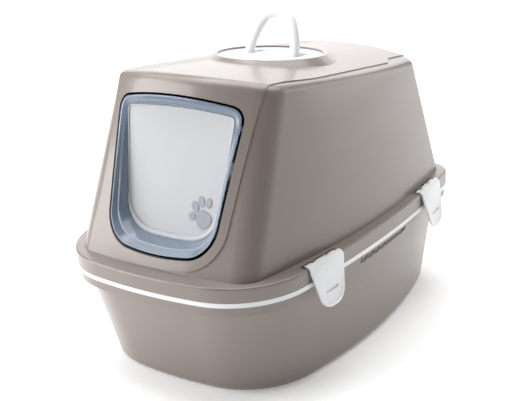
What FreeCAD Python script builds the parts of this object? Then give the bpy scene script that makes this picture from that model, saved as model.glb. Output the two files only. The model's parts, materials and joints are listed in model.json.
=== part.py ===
"""Cat litter box with hood: a deep tray, a litter guard, a hood with a swing flap, a carrying
handle over a carbon filter, and four side clips. Millimetres, +Z up, door towards -Y, origin on
the floor under the middle of the rim."""
import FreeCAD, Part
import math
import os
import Sketcher
from FreeCAD import Placement, Rotation, Vector

doc = FreeCAD.newDocument("litter_box")
sheet = doc.addObject("Spreadsheet::Sheet", "sizes")

SIZES = {
    # general
    "wall": 2.6,                # moulded wall of hood and tray
    "seat_gap": 0.3,            # gap between pieces that rest on each other but are curved
    "pin_play": 0.06,           # radial play of every hinge pin in the piece that turns on it
    # rim outline, shared by tray, guard and hood
    "rim_half_width": 200,
    "rim_half_length": 300,
    "rim_side_radius": 1790,
    "rim_front_radius": 670,
    "rim_rear_radius": 3000,
    "rim_front_corner": 116,
    "rim_rear_corner": 46,
    # tray
    "tray_height": 154.5,
    "tray_floor": 3,
    "top_side_step": 13,        # how far the bowl's mouth lies inside the rim
    "top_end_step": 15,
    "top_side_radius": 1600,
    "top_end_radius": 1635,
    "top_front_corner": 104,
    "top_rear_corner": 46,
    "base_side_lean": 3,        # how far the bowl comes in from its mouth down to its foot
    "base_front_lean": 33,
    "base_rear_lean": 6,
    "base_side_radius": 820,
    "base_front_radius": 540,
    "base_rear_radius": 900,
    "base_front_corner": 119,
    "base_rear_corner": 78,
    "base_edge_round": 12,
    "flange_thickness": 3,
    "skirt_depth": 13.5,
    "skirt_inset": 3,
    "side_skirt_depth": 6,
    "side_skirt_reach": 205,
    "grip_rib_count": 17,
    "grip_rib_pitch": 9,
    "grip_rib_thickness": 2,
    "grip_rib_height": 15,
    "grip_rib_out": 7,
    "grip_rib_middle": 22,
    # litter guard
    "guard_height": 6.5,
    "guard_plate": 2.2,
    "guard_edge": 3,
    "guard_reach": 26,
    "guard_lip": 14,
    # hood
    "band_height": 21,
    "band_edge_round": 3,
    "side_shoulder": 14.6,         # width of the flat shoulder at the sides, the front and the rear
    "front_shoulder": 25.5,
    "rear_shoulder": 10.5,
    "foot_side_radius": 1267,
    "foot_front_radius": 958,
    "foot_rear_radius": 1500,
    "foot_front_corner": 40,
    "foot_rear_corner": 26,
    "crest_height": 450,
    "crest_side_lean": 39.5,     # how far the sides, the front and the rear come in up to the crest
    "crest_front_lean": 90.3,
    "crest_rear_lean": 63,
    "crest_side_radius": 1628,
    "crest_front_radius": 250,
    "crest_rear_radius": 1176,
    "crest_front_corner": 48,
    "crest_rear_corner": 34,
    "widest_y": 33,
    "roof_height": 411,
    "roof_slope": 5.3,
    "roof_front_crown": 1950,
    "roof_rear_crown": 510,
    "roof_edge_round": 16,
    "panel_recess": 1.6,
    "band_margin": 13,
    "band_roof_half": 135,       # the raised middle of the roof, wide behind and narrower in front
    "band_front_half": 121,
    "band_sweep_start": 140,
    "band_sweep_end": 60,
    "band_sweep_round": 160,
    "band_sweep_foot": 385,
    # collar and handle dish
    "collar_y": 34,
    "collar_sink": 2,
    "collar_rise": 6,
    "collar_top_radius": 86,
    "collar_foot_radius": 104,
    "collar_foot_drop": 6.5,
    "dish_radius": 79.6,
    "dish_drop": 3,
    "dish_thickness": 2.6,
    "well_radius": 66.4,
    "well_depth": 22,
    # carrying handle
    "handle_half_span": 41,
    "handle_rise": 72,
    "handle_bar": 8,
    "handle_bar_depth": 6,
    "handle_pivot_drop": 7,
    "handle_foot_radius": 6.4,
    "handle_top_radius": 31,
    "trough_inner": 31.2,
    "trough_outer": 51.3,
    "trough_front": 9,
    "trough_rear": 42,
    "trough_rear_inner": 23,
    "trough_depth": 14.5,
    "handle_pin_radius": 2.5,
    "handle_pin_grip": 2,
    "handle_lean": 18,
    # filter
    "filter_radius": 63,
    "filter_thickness": 5.5,
    "grid_radius": 72,
    "grid_thickness": 2.8,
    "grid_slot_width": 5,
    "grid_slot_pitch": 10,
    "catch_distance": 80,
    "catch_post_radius": 3,
    "catch_hub_radius": 6.5,
    "catch_length": 17,
    "catch_width": 9,
    "catch_thickness": 2.6,
    # doorway and flap
    "door_top": 407.5,
    "door_bottom": 197,
    "door_half_width": 107.2,
    "door_width_height": 372,
    "door_taper": 5.2,
    "door_top_radius": 430,
    "door_bottom_radius": 430,
    "door_top_corner": 22,
    "door_bottom_corner": 50,
    "flap_gap": 3.2,
    "flap_rim": 7,
    "flap_wall": 2,
    "flap_set_back": 51.5,
    "flap_floor_lean": 14.3,
    "flap_draft": 8.4,
    "flap_lead": 4,
    "window_thickness": 2.4,
    "window_top_corner": 4,
    "window_bottom_corner": 50,
    "window_top_radius": 1600,
    "window_top_drop": 9,
    "paw_x": 51.4,
    "paw_z": 248.4,
    "paw_size": 16,
    "paw_turn": 42,
    "paw_thickness": 0.5,
    "flap_axis_depth": 25.6,     # from the middle of the front face back to the hinge
    "flap_axis_z": 367,
    "flap_pin_radius": 2,
    "flap_boss_radius": 4.6,
    "flap_boss_depth": 11.4,     # from the doorway's edge in to the inner end of the flap's bearing
    "flap_boss_length": 8,
    "boss_step": 1.6,
    "boss_length": 7,
    "flap_pin_length": 17,
    # clips
    "clip_front_reach": 157,     # from the rim's end back to the middle of a clip
    "clip_rear_reach": 119,
    "clip_width": 75,
    "clip_tip_width": 45,
    "clip_tip_z": 119.5,
    "clip_taper_z": 177,
    "clip_tip_round": 17,
    "clip_flare": 11,
    "clip_plate": 2.8,
    "clip_top": 185,
    "clip_bevel": 4.2,
    "clip_face_out": 3.2,
    "clip_axis_in": 9.5,
    "clip_axis_z": 180.2,
    "clip_barrel_radius": 4.4,
    "clip_pin_radius": 1.5,
    "clip_pin_length": 68,
    "clip_side_gap": 1,
    "clip_lug_offset": 14,
    "clip_lug_width": 5,
    "clip_hook_reach": 6.5,
    "clip_hook_height": 7,
    "clip_hook_drop": 1.7,
    "clip_slot_length": 22,
    "clip_slot_width": 5.5,
    "clip_slot_z": 147.5,
    "notch_depth": 15.2,
}


class Length:
    """A size from the sheet, or an arithmetic of such sizes, with its number beside its expression."""

    def __init__(self, value, text):
        self.value = float(value)
        self.text = text

    def __add__(self, other):
        other = as_length(other)
        return Length(self.value + other.value, f"({self.text} + {other.text})")

    def __sub__(self, other):
        other = as_length(other)
        return Length(self.value - other.value, f"({self.text} - {other.text})")

    def __mul__(self, factor):
        factor = as_length(factor)
        return Length(self.value * factor.value, f"({self.text} * {factor.text})")

    def __truediv__(self, divisor):
        divisor = as_length(divisor)
        return Length(self.value / divisor.value, f"({self.text} / {divisor.text})")

    def __neg__(self):
        return Length(-self.value, f"(0 - {self.text})")

    __radd__ = __add__
    __rmul__ = __mul__


def as_length(number):
    return number if isinstance(number, Length) else Length(number, repr(float(number)))


size = {}
for row, (name, number) in enumerate(SIZES.items(), start=1):
    sheet.set(f"A{row}", name)
    sheet.set(f"B{row}", str(number))
    sheet.setAlias(f"B{row}", name)
    size[name] = Length(number, f"sizes.{name}")
doc.recompute()


def degrees(name):
    return math.radians(size[name].value)


# ---------------------------------------------------------------- helpers: sketches and features
def bind(thing, prop, length):
    """Set a property to a size and keep it tied to the sheet."""
    thing.setExpression(prop, as_length(length).text)


def new_body(label):
    body = doc.addObject("PartDesign::Body", label)
    body.Label = label
    return body


def plane_of(body, role):
    return [item for item in body.Origin.OriginFeatures if item.Role == role][0]


def sketch_on(body, role, name, offset=0, tilt=None):
    """A sketch on an origin plane of its body, moved along the plane's normal; tilt leans it backwards."""
    sketch = body.newObject("Sketcher::SketchObject", name)
    sketch.AttachmentSupport = [(plane_of(body, role), "")]
    sketch.MapMode = "FlatFace"
    turn = Rotation(Vector(-1, 0, 0), tilt.value if tilt else 0)
    sketch.AttachmentOffset = Placement(Vector(0, 0, as_length(offset).value), turn)
    bind(sketch, "AttachmentOffset.Base.z", offset)
    if tilt:
        bind(sketch, "AttachmentOffset.Rotation.Angle", tilt)
    return sketch


def fix(sketch, kind, length, *where):
    """One dimension, tied to its size. A coordinate left of or under the origin is measured from it."""
    length = as_length(length)
    if kind in ("DistanceX", "DistanceY") and length.value < 0:
        where = where[2:] + where[:2]
        length = -length
    index = sketch.addConstraint(Sketcher.Constraint(kind, *where, length.value))
    sketch.renameConstraint(index, f"{kind.lower()}_{index}")
    sketch.setExpression(f"Constraints.{kind.lower()}_{index}", length.text)


def fix_point(sketch, geometry, point, x, y):
    for kind, along, axis in (("DistanceX", as_length(x), -2), ("DistanceY", as_length(y), -1)):
        if abs(along.value) < 1e-9:
            sketch.addConstraint(Sketcher.Constraint("PointOnObject", geometry, point, axis))
        else:
            fix(sketch, kind, along, -1, 1, geometry, point)


def polygon(sketch, corners):
    """A closed outline of straight lines through corners given as pairs of sizes."""
    corners = [(as_length(x), as_length(y)) for x, y in corners]
    points = [Vector(x.value, y.value, 0) for x, y in corners]
    first = sketch.GeometryCount
    count = len(points)
    for i in range(count):
        sketch.addGeometry(Part.LineSegment(points[i], points[(i + 1) % count]), False)
    for i in range(count):
        sketch.addConstraint(Sketcher.Constraint("Coincident", first + i, 2, first + (i + 1) % count, 1))
    for i, (x, y) in enumerate(corners):
        fix_point(sketch, first + i, 1, x, y)


def circle(sketch, x, y, radius):
    x, y, radius = as_length(x), as_length(y), as_length(radius)
    index = sketch.addGeometry(Part.Circle(Vector(x.value, y.value, 0), Vector(0, 0, 1), radius.value), False)
    fix_point(sketch, index, 3, x, y)
    fix(sketch, "Radius", radius, index)


def inner_corner(centre_a, reach_a, centre_b, reach_b, towards):
    """The centre of a corner arc that touches two arcs from inside: where two circles meet."""
    between = centre_b - centre_a
    span = between.Length
    along = (reach_a ** 2 - reach_b ** 2 + span ** 2) / (2 * span)
    across = math.sqrt(reach_a ** 2 - along ** 2)
    foot = centre_a + between * (along / span)
    side = Vector(-between.y, between.x, 0) * (across / span)
    return max(foot + side, foot - side, key=lambda point: point * towards)


def arc(centre, radius, start, end):
    """A counter-clockwise arc between the directions from its centre to two points."""
    first = math.atan2(start.y - centre.y, start.x - centre.x)
    last = math.atan2(end.y - centre.y, end.x - centre.x)
    if last < first:
        last += 2 * math.pi
    return Part.ArcOfCircle(Part.Circle(centre, Vector(0, 0, 1), radius), first, last)


def touch(centre, radius, corner):
    """The point where an arc meets a corner arc that lies inside it."""
    return centre + (corner - centre).normalize() * radius


def chain(sketch, pieces):
    """Add the pieces of a closed smooth outline, each tangent to the next."""
    first = sketch.GeometryCount
    sketch.addGeometry(pieces, False)
    count = len(pieces)
    for i in range(count):
        sketch.addConstraint(Sketcher.Constraint("Tangent", first + i, 2, first + (i + 1) % count, 1))
    return first


def oval(sketch, half, front, rear, side_r, front_r, rear_r, front_c, rear_c, middle=0):
    """A bowed oblong: two side arcs, a front and a rear arc, and four corner arcs, all tangent."""
    half, front, rear, middle = as_length(half), as_length(front), as_length(rear), as_length(middle)
    side_r, front_r, rear_r = as_length(side_r), as_length(front_r), as_length(rear_r)
    front_c, rear_c = as_length(front_c), as_length(rear_c)
    right = Vector(half.value - side_r.value, middle.value, 0)
    left = Vector(-right.x, right.y, 0)
    low = Vector(0, front_r.value - front.value, 0)
    high = Vector(0, rear.value - rear_r.value, 0)

    def corner(side, end, end_radius, radius, towards):
        return inner_corner(side, side_r.value - radius, end, end_radius - radius, towards)

    rear_right = corner(right, high, rear_r.value, rear_c.value, Vector(1, 1, 0))
    rear_left = Vector(-rear_right.x, rear_right.y, 0)
    front_right = corner(right, low, front_r.value, front_c.value, Vector(1, -1, 0))
    front_left = Vector(-front_right.x, front_right.y, 0)
    mains = ((right, side_r), (high, rear_r), (left, side_r), (low, front_r))
    corners = ((rear_right, rear_c), (rear_left, rear_c), (front_left, front_c), (front_right, front_c))
    pieces = []
    for i, (centre, radius) in enumerate(mains):
        before, after = corners[i - 1][0], corners[i][0]
        start, end = touch(centre, radius.value, before), touch(centre, radius.value, after)
        pieces.append(arc(centre, radius.value, start, end))
        following = mains[(i + 1) % 4]
        end_of_corner = touch(following[0], following[1].value, after)
        pieces.append(arc(after, corners[i][1].value, end, end_of_corner))
    first = chain(sketch, pieces)
    for i in range(4):
        fix(sketch, "Radius", mains[i][1], first + 2 * i)
        fix(sketch, "Radius", corners[i][1], first + 2 * i + 1)
    fix_point(sketch, first, 3, half - side_r, middle)
    fix_point(sketch, first + 2, 3, 0, rear - rear_r)
    fix_point(sketch, first + 4, 3, side_r - half, middle)
    fix_point(sketch, first + 6, 3, 0, front_r - front)


def rim_outline(sketch, inset=0):
    oval(sketch, size["rim_half_width"] - inset, size["rim_half_length"] - inset,
         size["rim_half_length"] - inset, size["rim_side_radius"] - inset, size["rim_front_radius"] - inset,
         size["rim_rear_radius"] - inset, size["rim_front_corner"] - inset, size["rim_rear_corner"] - inset)


def tray_top_outline(sketch, inset=0):
    length, ends = mouth_length - inset, size["top_end_radius"] - inset
    oval(sketch, mouth_half - inset, length, length, size["top_side_radius"] - inset, ends, ends,
         size["top_front_corner"] - inset, size["top_rear_corner"] - inset)


def tray_base_outline(sketch, inset=0):
    oval(sketch, mouth_half - size["base_side_lean"] - inset, mouth_length - size["base_front_lean"] - inset,
         mouth_length - size["base_rear_lean"] - inset, size["base_side_radius"] - inset,
         size["base_front_radius"] - inset, size["base_rear_radius"] - inset,
         size["base_front_corner"] - inset, size["base_rear_corner"] - inset)


def hood_foot_outline(sketch, inset=0):
    oval(sketch, foot_half - inset, foot_front - inset, foot_rear - inset,
         size["foot_side_radius"] - inset, size["foot_front_radius"] - inset, size["foot_rear_radius"] - inset,
         size["foot_front_corner"] - inset, size["foot_rear_corner"] - inset, size["widest_y"])


def hood_crest_outline(sketch, inset=0):
    oval(sketch, foot_half - size["crest_side_lean"] - inset, foot_front - size["crest_front_lean"] - inset,
         foot_rear - size["crest_rear_lean"] - inset, size["crest_side_radius"] - inset,
         size["crest_front_radius"] - inset, size["crest_rear_radius"] - inset,
         size["crest_front_corner"] - inset, size["crest_rear_corner"] - inset, size["widest_y"])


def door_outline(sketch, inset=0, open_top=0, lean=None, corners=None):
    """The doorway: bowed top, sides that close towards the floor, and a bowed bottom with wide corners.
    inset shrinks it evenly, and a negative inset grows it; open_top lifts the top further; lean is
    the angle of the sketch's plane, on which every height is longer by its cosine; corners gives the
    corner radii and the top radius where they are not those of the doorway."""
    inset, lift = as_length(inset), as_length(open_top)
    stretch = Length(1 / math.cos(math.radians(lean.value)), f"(1 / cos({lean.text}))") if lean else as_length(1)
    top, bottom = size["door_top"] * stretch - inset + lift, size["door_bottom"] * stretch + inset
    half, level = size["door_half_width"], size["door_width_height"] * stretch
    bottom_r = size["door_bottom_radius"] - inset
    top_c, bottom_c, top_r = corners or (size["door_top_corner"] - inset, size["door_bottom_corner"] - inset,
                                         size["door_top_radius"] - inset)
    taper = degrees("door_taper")
    # the side line: it passes (half, level), leans by the taper and is moved in by the inset
    outward = Vector(math.cos(taper), -math.sin(taper), 0)
    upward = Vector(math.sin(taper), math.cos(taper), 0)
    on_line = Vector(half.value, level.value, 0) - outward * inset.value

    def line_corner(end_centre, end_radius, radius, direction):
        start = on_line - outward * radius
        offset = start - end_centre
        along = offset * upward
        reach = math.sqrt(along ** 2 - offset * offset + (end_radius - radius) ** 2)
        return start + upward * (direction * reach - along)

    high = Vector(0, top.value - top_r.value, 0)
    low = Vector(0, bottom.value + bottom_r.value, 0)
    top_right = line_corner(high, top_r.value, top_c.value, 1)
    bottom_right = line_corner(low, bottom_r.value, bottom_c.value, -1)
    top_left, bottom_left = Vector(-top_right.x, top_right.y, 0), Vector(-bottom_right.x, bottom_right.y, 0)
    outward_left = Vector(-outward.x, outward.y, 0)
    right_low, right_high = bottom_right + outward * bottom_c.value, top_right + outward * top_c.value
    left_low, left_high = bottom_left + outward_left * bottom_c.value, top_left + outward_left * top_c.value
    pieces = [
        Part.LineSegment(right_low, right_high),
        arc(top_right, top_c.value, right_high, touch(high, top_r.value, top_right)),
        arc(high, top_r.value, touch(high, top_r.value, top_right), touch(high, top_r.value, top_left)),
        arc(top_left, top_c.value, touch(high, top_r.value, top_left), left_high),
        Part.LineSegment(left_high, left_low),
        arc(bottom_left, bottom_c.value, left_low, touch(low, bottom_r.value, bottom_left)),
        arc(low, bottom_r.value, touch(low, bottom_r.value, bottom_left), touch(low, bottom_r.value, bottom_right)),
        arc(bottom_right, bottom_c.value, touch(low, bottom_r.value, bottom_right), right_low),
    ]
    first = chain(sketch, pieces)
    for i, radius in ((1, top_c), (2, top_r), (3, top_c), (5, bottom_c), (6, bottom_r), (7, bottom_c)):
        fix(sketch, "Radius", radius, first + i)
    fix_point(sketch, first + 2, 3, 0, top - top_r)
    fix_point(sketch, first + 6, 3, 0, bottom + bottom_r)
    # each side line keeps its lean, and its distance from the origin
    reach = Length(on_line * outward, f"({half.text} * cos(sizes.door_taper * 1deg)"
                   f" - {level.text} * sin(sizes.door_taper * 1deg) - {inset.text})")
    for i, sign in ((0, 1), (4, -1)):
        angle = sign * (math.pi / 2 - taper)
        index = sketch.addConstraint(Sketcher.Constraint("Angle", first + i, angle))
        sketch.renameConstraint(index, f"lean_{index}")
        sketch.setExpression(f"Constraints.lean_{index}", f"{sign} * (90deg - sizes.door_taper * 1deg)")
        fix(sketch, "Distance", reach, -1, 1, first + i)
    return first


def pad(body, sketch, length, name, both_ways=False, reverse=False):
    feature = body.newObject("PartDesign::Pad", name)
    feature.Profile = sketch
    bind(feature, "Length", length)
    feature.Midplane = both_ways
    feature.Reversed = reverse
    body.Tip = feature
    return feature


def pocket(body, sketch, length, name, both_ways=False, reverse=False):
    feature = body.newObject("PartDesign::Pocket", name)
    feature.Profile = sketch
    bind(feature, "Length", length)
    feature.Midplane = both_ways
    feature.Reversed = reverse
    body.Tip = feature
    return feature


def loft(body, sketches, name, smooth=False):
    feature = body.newObject("PartDesign::AdditiveLoft", name)
    feature.Profile = sketches[0]
    feature.Sections = sketches[1:]
    feature.Ruled = not smooth
    body.Tip = feature
    return feature


def revolve(body, sketch, name):
    feature = body.newObject("PartDesign::Revolution", name)
    feature.Profile = sketch
    feature.ReferenceAxis = (sketch, ["V_Axis"])
    feature.Angle = 360
    body.Tip = feature
    return feature


def round_edges(body, chosen, radius, name):
    """Fillet the edges of the body's tip that a test picks."""
    doc.recompute()
    base = body.Tip
    names = [f"Edge{i}" for i, edge in enumerate(base.Shape.Edges, start=1) if chosen(edge)]
    feature = body.newObject("PartDesign::Fillet", name)
    feature.Base = (base, names)
    bind(feature, "Radius", radius)
    body.Tip = feature
    return feature


def cut(base, tool, label):
    result = doc.addObject("Part::Cut", label)
    result.Base, result.Tool = base, tool
    result.Refine = False
    return result


def fuse(shapes, label):
    result = doc.addObject("Part::MultiFuse", label)
    result.Shapes = shapes
    result.Refine = False
    return result


def common(shapes, label):
    result = doc.addObject("Part::MultiCommon", label)
    result.Shapes = shapes
    result.Refine = False
    return result


def lies_at(height):
    """Picks the edges that lie in one horizontal plane."""
    def test(edge):
        box = edge.BoundBox
        return abs(box.ZMin - height) < 0.01 and abs(box.ZMax - height) < 0.01
    return test


parts = {}


# ---------------------------------------------------------------- heights that several pieces share
guard_bottom = size["tray_height"]
band_bottom = guard_bottom + size["guard_height"]
shoulder = band_bottom + size["band_height"]
wall = size["wall"]
mouth_half = size["rim_half_width"] - size["top_side_step"]
mouth_length = size["rim_half_length"] - size["top_end_step"]
foot_half = size["rim_half_width"] - size["side_shoulder"]
foot_front = size["rim_half_length"] - size["front_shoulder"]
foot_rear = size["rim_half_length"] - size["rear_shoulder"]
front_run = size["crest_front_lean"] / (size["crest_height"] - shoulder)
front_lean = Length(math.degrees(math.atan(front_run.value)), f"atan({front_run.text})")
floor_lean = Length(size["flap_floor_lean"].value, "(sizes.flap_floor_lean * 1deg)")
floor_stretch = Length(1 / math.cos(degrees("flap_floor_lean")), f"(1 / cos({floor_lean.text}))")
front_at_ground = foot_front + shoulder * front_run
door_side_run = Length(math.tan(degrees("door_taper")), "tan(sizes.door_taper * 1deg)")
door_half_at_axis = size["door_half_width"] - (size["door_width_height"] - size["flap_axis_z"]) * door_side_run
flap_axis_y = foot_front - (size["flap_axis_z"] - shoulder) * front_run - size["flap_axis_depth"]
clip_middle = {"front": size["rim_half_length"] - size["clip_front_reach"],
               "rear": size["rim_half_length"] - size["clip_rear_reach"]}
flap_boss_start = door_half_at_axis - size["flap_boss_depth"]
collar_height = size["roof_height"] - size["collar_sink"]


# ---------------------------------------------------------------- tray
def bowl(label, low, inset, top_height):
    """A leaning oval bowl whose foot is rounded; inset gives the hollow in it."""
    body = new_body(label)
    radius = size["base_edge_round"] - inset
    sections = []
    for step in range(5):
        turn = math.pi / 8 * step
        rise, reach = radius * (1 - math.cos(turn)), inset + radius * (1 - math.sin(turn))
        ring = sketch_on(body, "XY_Plane", f"foot_{step}", low + rise)
        tray_base_outline(ring, reach)
        sections.append(ring)
    loft(body, sections, "rounded_foot", smooth=True)
    start = sketch_on(body, "XY_Plane", "wall_start", low + radius)
    tray_base_outline(start, inset)
    mouth = sketch_on(body, "XY_Plane", "wall_end", top_height)
    tray_top_outline(mouth, inset)
    loft(body, [start, mouth], "leaning_wall")
    return body


def make_tray():
    shell = bowl("tray_shell", as_length(0), as_length(0), size["tray_height"])
    hollow = bowl("tray_hollow", size["tray_floor"], wall, size["tray_height"] + wall)
    # out-turned flange and the skirt that hangs from its edge
    flange = new_body("tray_flange")
    edge = sketch_on(flange, "XY_Plane", "flange_outline", size["tray_height"])
    rim_outline(edge, size["skirt_inset"])
    pad(flange, edge, size["skirt_depth"], "flange_block", reverse=True)
    under = sketch_on(flange, "XY_Plane", "flange_under", size["tray_height"] - size["flange_thickness"])
    rim_outline(under, size["skirt_inset"] + wall)
    pocket(flange, under, size["skirt_depth"], "flange_underside")
    # the skirt is shallower along the sides, where hands and clips go
    side_low = size["tray_height"] - size["side_skirt_depth"]
    sides = sketch_on(flange, "YZ_Plane", "side_skirt")
    reach = size["side_skirt_reach"]
    polygon(sides, [(-reach, side_low), (-reach, 0), (reach, 0), (reach, side_low)])
    pocket(flange, sides, size["rim_half_width"] * 2.2, "side_skirt_cut", both_ways=True)
    for end, side in (("front", -1), ("rear", 1)):
        notch = sketch_on(flange, "YZ_Plane", f"notch_{end}")
        middle = clip_middle[end] * side
        half = size["clip_width"] / 2 + size["clip_side_gap"] * 4
        low, high = Length(0, "0"), size["tray_height"] - size["flange_thickness"]
        polygon(notch, [(middle - half * 1.3, low), (middle + half, low), (middle + half, high),
                        (middle - half * 1.3, high)])
        pocket(flange, notch, size["rim_half_width"] * 2.2, f"hook_notch_{end}", both_ways=True)
    # finger ribs under both side flanges
    ribs = []
    for side in (-1, 1):
        rib = new_body(f"grip_ribs_{'left' if side < 0 else 'right'}")
        outline = sketch_on(rib, "XZ_Plane", "rib_outline",
                            -(size["grip_rib_middle"] - size["grip_rib_pitch"] * (size["grip_rib_count"] - 1) / 2))
        inner = mouth_half - 8
        outer = mouth_half + size["grip_rib_out"]
        top_z = size["tray_height"] - size["flange_thickness"] / 2
        low_z = size["tray_height"] - size["flange_thickness"] - size["grip_rib_height"]
        corners = [(inner, low_z), (outer, top_z - size["side_skirt_depth"]), (outer, top_z), (inner, top_z)]
        polygon(outline, [(x * side, z) for x, z in corners])
        first = pad(rib, outline, size["grip_rib_thickness"], "rib", both_ways=True)
        doc.recompute()
        row = rib.newObject("PartDesign::LinearPattern", "rib_row")
        row.Originals = [first]
        row.Direction = (plane_of(rib, "Y_Axis"), [""])
        row.Length = (size["grip_rib_pitch"] * (size["grip_rib_count"] - 1)).value
        bind(row, "Length", size["grip_rib_pitch"] * (size["grip_rib_count"] - 1))
        row.Occurrences = int(size["grip_rib_count"].value)
        bind(row, "Occurrences", size["grip_rib_count"])
        rib.Tip = row
        ribs.append(rib)
    solid = fuse([shell, flange] + ribs, "tray_solid")
    parts["tray"] = cut(solid, hollow, "tray")


# ---------------------------------------------------------------- litter guard
def make_guard():
    guard = new_body("litter_guard")
    top = guard_bottom + size["guard_height"]
    outline = sketch_on(guard, "XY_Plane", "guard_outline", guard_bottom)
    rim_outline(outline)
    pad(guard, outline, size["guard_height"], "guard_block")
    under = sketch_on(guard, "XY_Plane", "guard_under", top - size["guard_plate"])
    rim_outline(under, size["guard_edge"])
    pocket(guard, under, size["guard_height"], "guard_underside")
    # lip that hangs inside the tray
    lip = sketch_on(guard, "XY_Plane", "guard_lip", top - size["guard_plate"] / 2)
    tray_top_outline(lip, size["guard_reach"] - wall)
    pad(guard, lip, size["guard_lip"], "guard_lip_block", reverse=True)
    mouth = sketch_on(guard, "XY_Plane", "guard_mouth", top)
    tray_top_outline(mouth, size["guard_reach"])
    pocket(guard, mouth, size["guard_lip"] * 3, "guard_opening")
    parts["litter_guard"] = guard


# ---------------------------------------------------------------- hood
def hood_block(name, inset, lowest, drop):
    """The hood's solid form, inset evenly: leaning sides, cut by the crowned, sloping roof."""
    block = new_body(f"{name}_sides")
    foot = sketch_on(block, "XY_Plane", "foot", shoulder)
    hood_foot_outline(foot, inset)
    crest = sketch_on(block, "XY_Plane", "crest", size["crest_height"])
    hood_crest_outline(crest, inset)
    loft(block, [foot, crest], "walls")
    roof = new_body(f"{name}_roof")
    sections = []
    for y, crown in ((-size["rim_half_length"], size["roof_front_crown"]), (size["rim_half_length"], size["roof_rear_crown"])):
        section = sketch_on(roof, "XZ_Plane", "roof_section", -y)
        apex = size["roof_height"] + Length(
            (size["collar_y"].value - y.value) * math.tan(degrees("roof_slope")),
            f"(({size['collar_y'].text} - {y.text}) * tan(sizes.roof_slope * 1deg))") - drop
        roof_section(section, apex, crown - drop, lowest)
        sections.append(section)
    loft(roof, sections, "roof_form")
    whole = common([block, roof], f"{name}_form")
    doc.recompute()
    rounded = doc.addObject("Part::Fillet", f"{name}_rounded")
    rounded.Base = whole
    radius = size["roof_edge_round"].value - drop.value
    top_edges = [i for i, edge in enumerate(whole.Shape.Edges, start=1)
                 if edge.BoundBox.ZMin > shoulder.value + wall.value and is_roof_edge(edge)]
    rounded.Edges = [(i, radius, radius) for i in top_edges]
    return rounded


def is_roof_edge(edge):
    """The roof's outline, and not the wall seams that run down from it."""
    start, end = edge.Vertexes[0].Point, edge.Vertexes[-1].Point
    rise = abs(start.z - end.z)
    run = math.hypot(start.x - end.x, start.y - end.y)
    return run > rise * 1.5


def roof_section(sketch, apex, crown, lowest):
    """A tall block under a crowned top arc."""
    half = size["rim_half_width"]
    apex, crown, lowest, half = as_length(apex), as_length(crown), as_length(lowest), as_length(half)
    centre = Vector(0, apex.value - crown.value, 0)
    fall = math.sqrt(crown.value ** 2 - half.value ** 2)
    right, left = Vector(half.value, centre.y + fall, 0), Vector(-half.value, centre.y + fall, 0)
    low_left, low_right = Vector(-half.value, lowest.value, 0), Vector(half.value, lowest.value, 0)
    sketch.addGeometry([arc(centre, crown.value, right, left), Part.LineSegment(left, low_left),
                        Part.LineSegment(low_left, low_right), Part.LineSegment(low_right, right)], False)
    for i in range(4):
        sketch.addConstraint(Sketcher.Constraint("Coincident", i, 2, (i + 1) % 4, 1))
    fix_point(sketch, 0, 3, 0, apex - crown)
    fix(sketch, "Radius", crown, 0)
    sketch.addConstraint(Sketcher.Constraint("Vertical", 1))
    sketch.addConstraint(Sketcher.Constraint("Vertical", 3))
    fix_point(sketch, 2, 1, -half, lowest)
    fix_point(sketch, 2, 2, half, lowest)


def door_prism(label, inset, open_top=0, whole=False):
    """A block of the doorway's shape: the front half of the hood's length, or all of it."""
    body = new_body(label)
    outline = sketch_on(body, "XZ_Plane", f"{label}_outline")
    door_outline(outline, inset, open_top)
    pad(body, outline, size["rim_half_length"] * (2 if whole else 1), f"{label}_pad", both_ways=whole)
    return body


def roof_band():
    """The raised middle of the roof from above, with a soft sweep where it narrows towards the front."""
    body = new_body("roof_band")
    outline = sketch_on(body, "XY_Plane", "roof_band_outline", size["band_sweep_foot"])
    wide, narrow, end = size["band_roof_half"], size["band_front_half"], size["rim_half_length"]
    start, finish = -size["band_sweep_start"], -size["band_sweep_end"]
    polygon(outline, [(-narrow, -end), (narrow, -end), (narrow, start), (wide, finish), (wide, end),
                      (-wide, end), (-wide, finish), (-narrow, start)])
    pad(body, outline, size["crest_height"] - size["band_sweep_foot"], "roof_band_block")

    def sweep_corner(edge):
        box = edge.BoundBox
        return box.XLength + box.YLength < 0.01 and abs(box.YMin) < end.value - 1
    round_edges(body, sweep_corner, size["band_sweep_round"], "sweep_corners")
    return body


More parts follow.
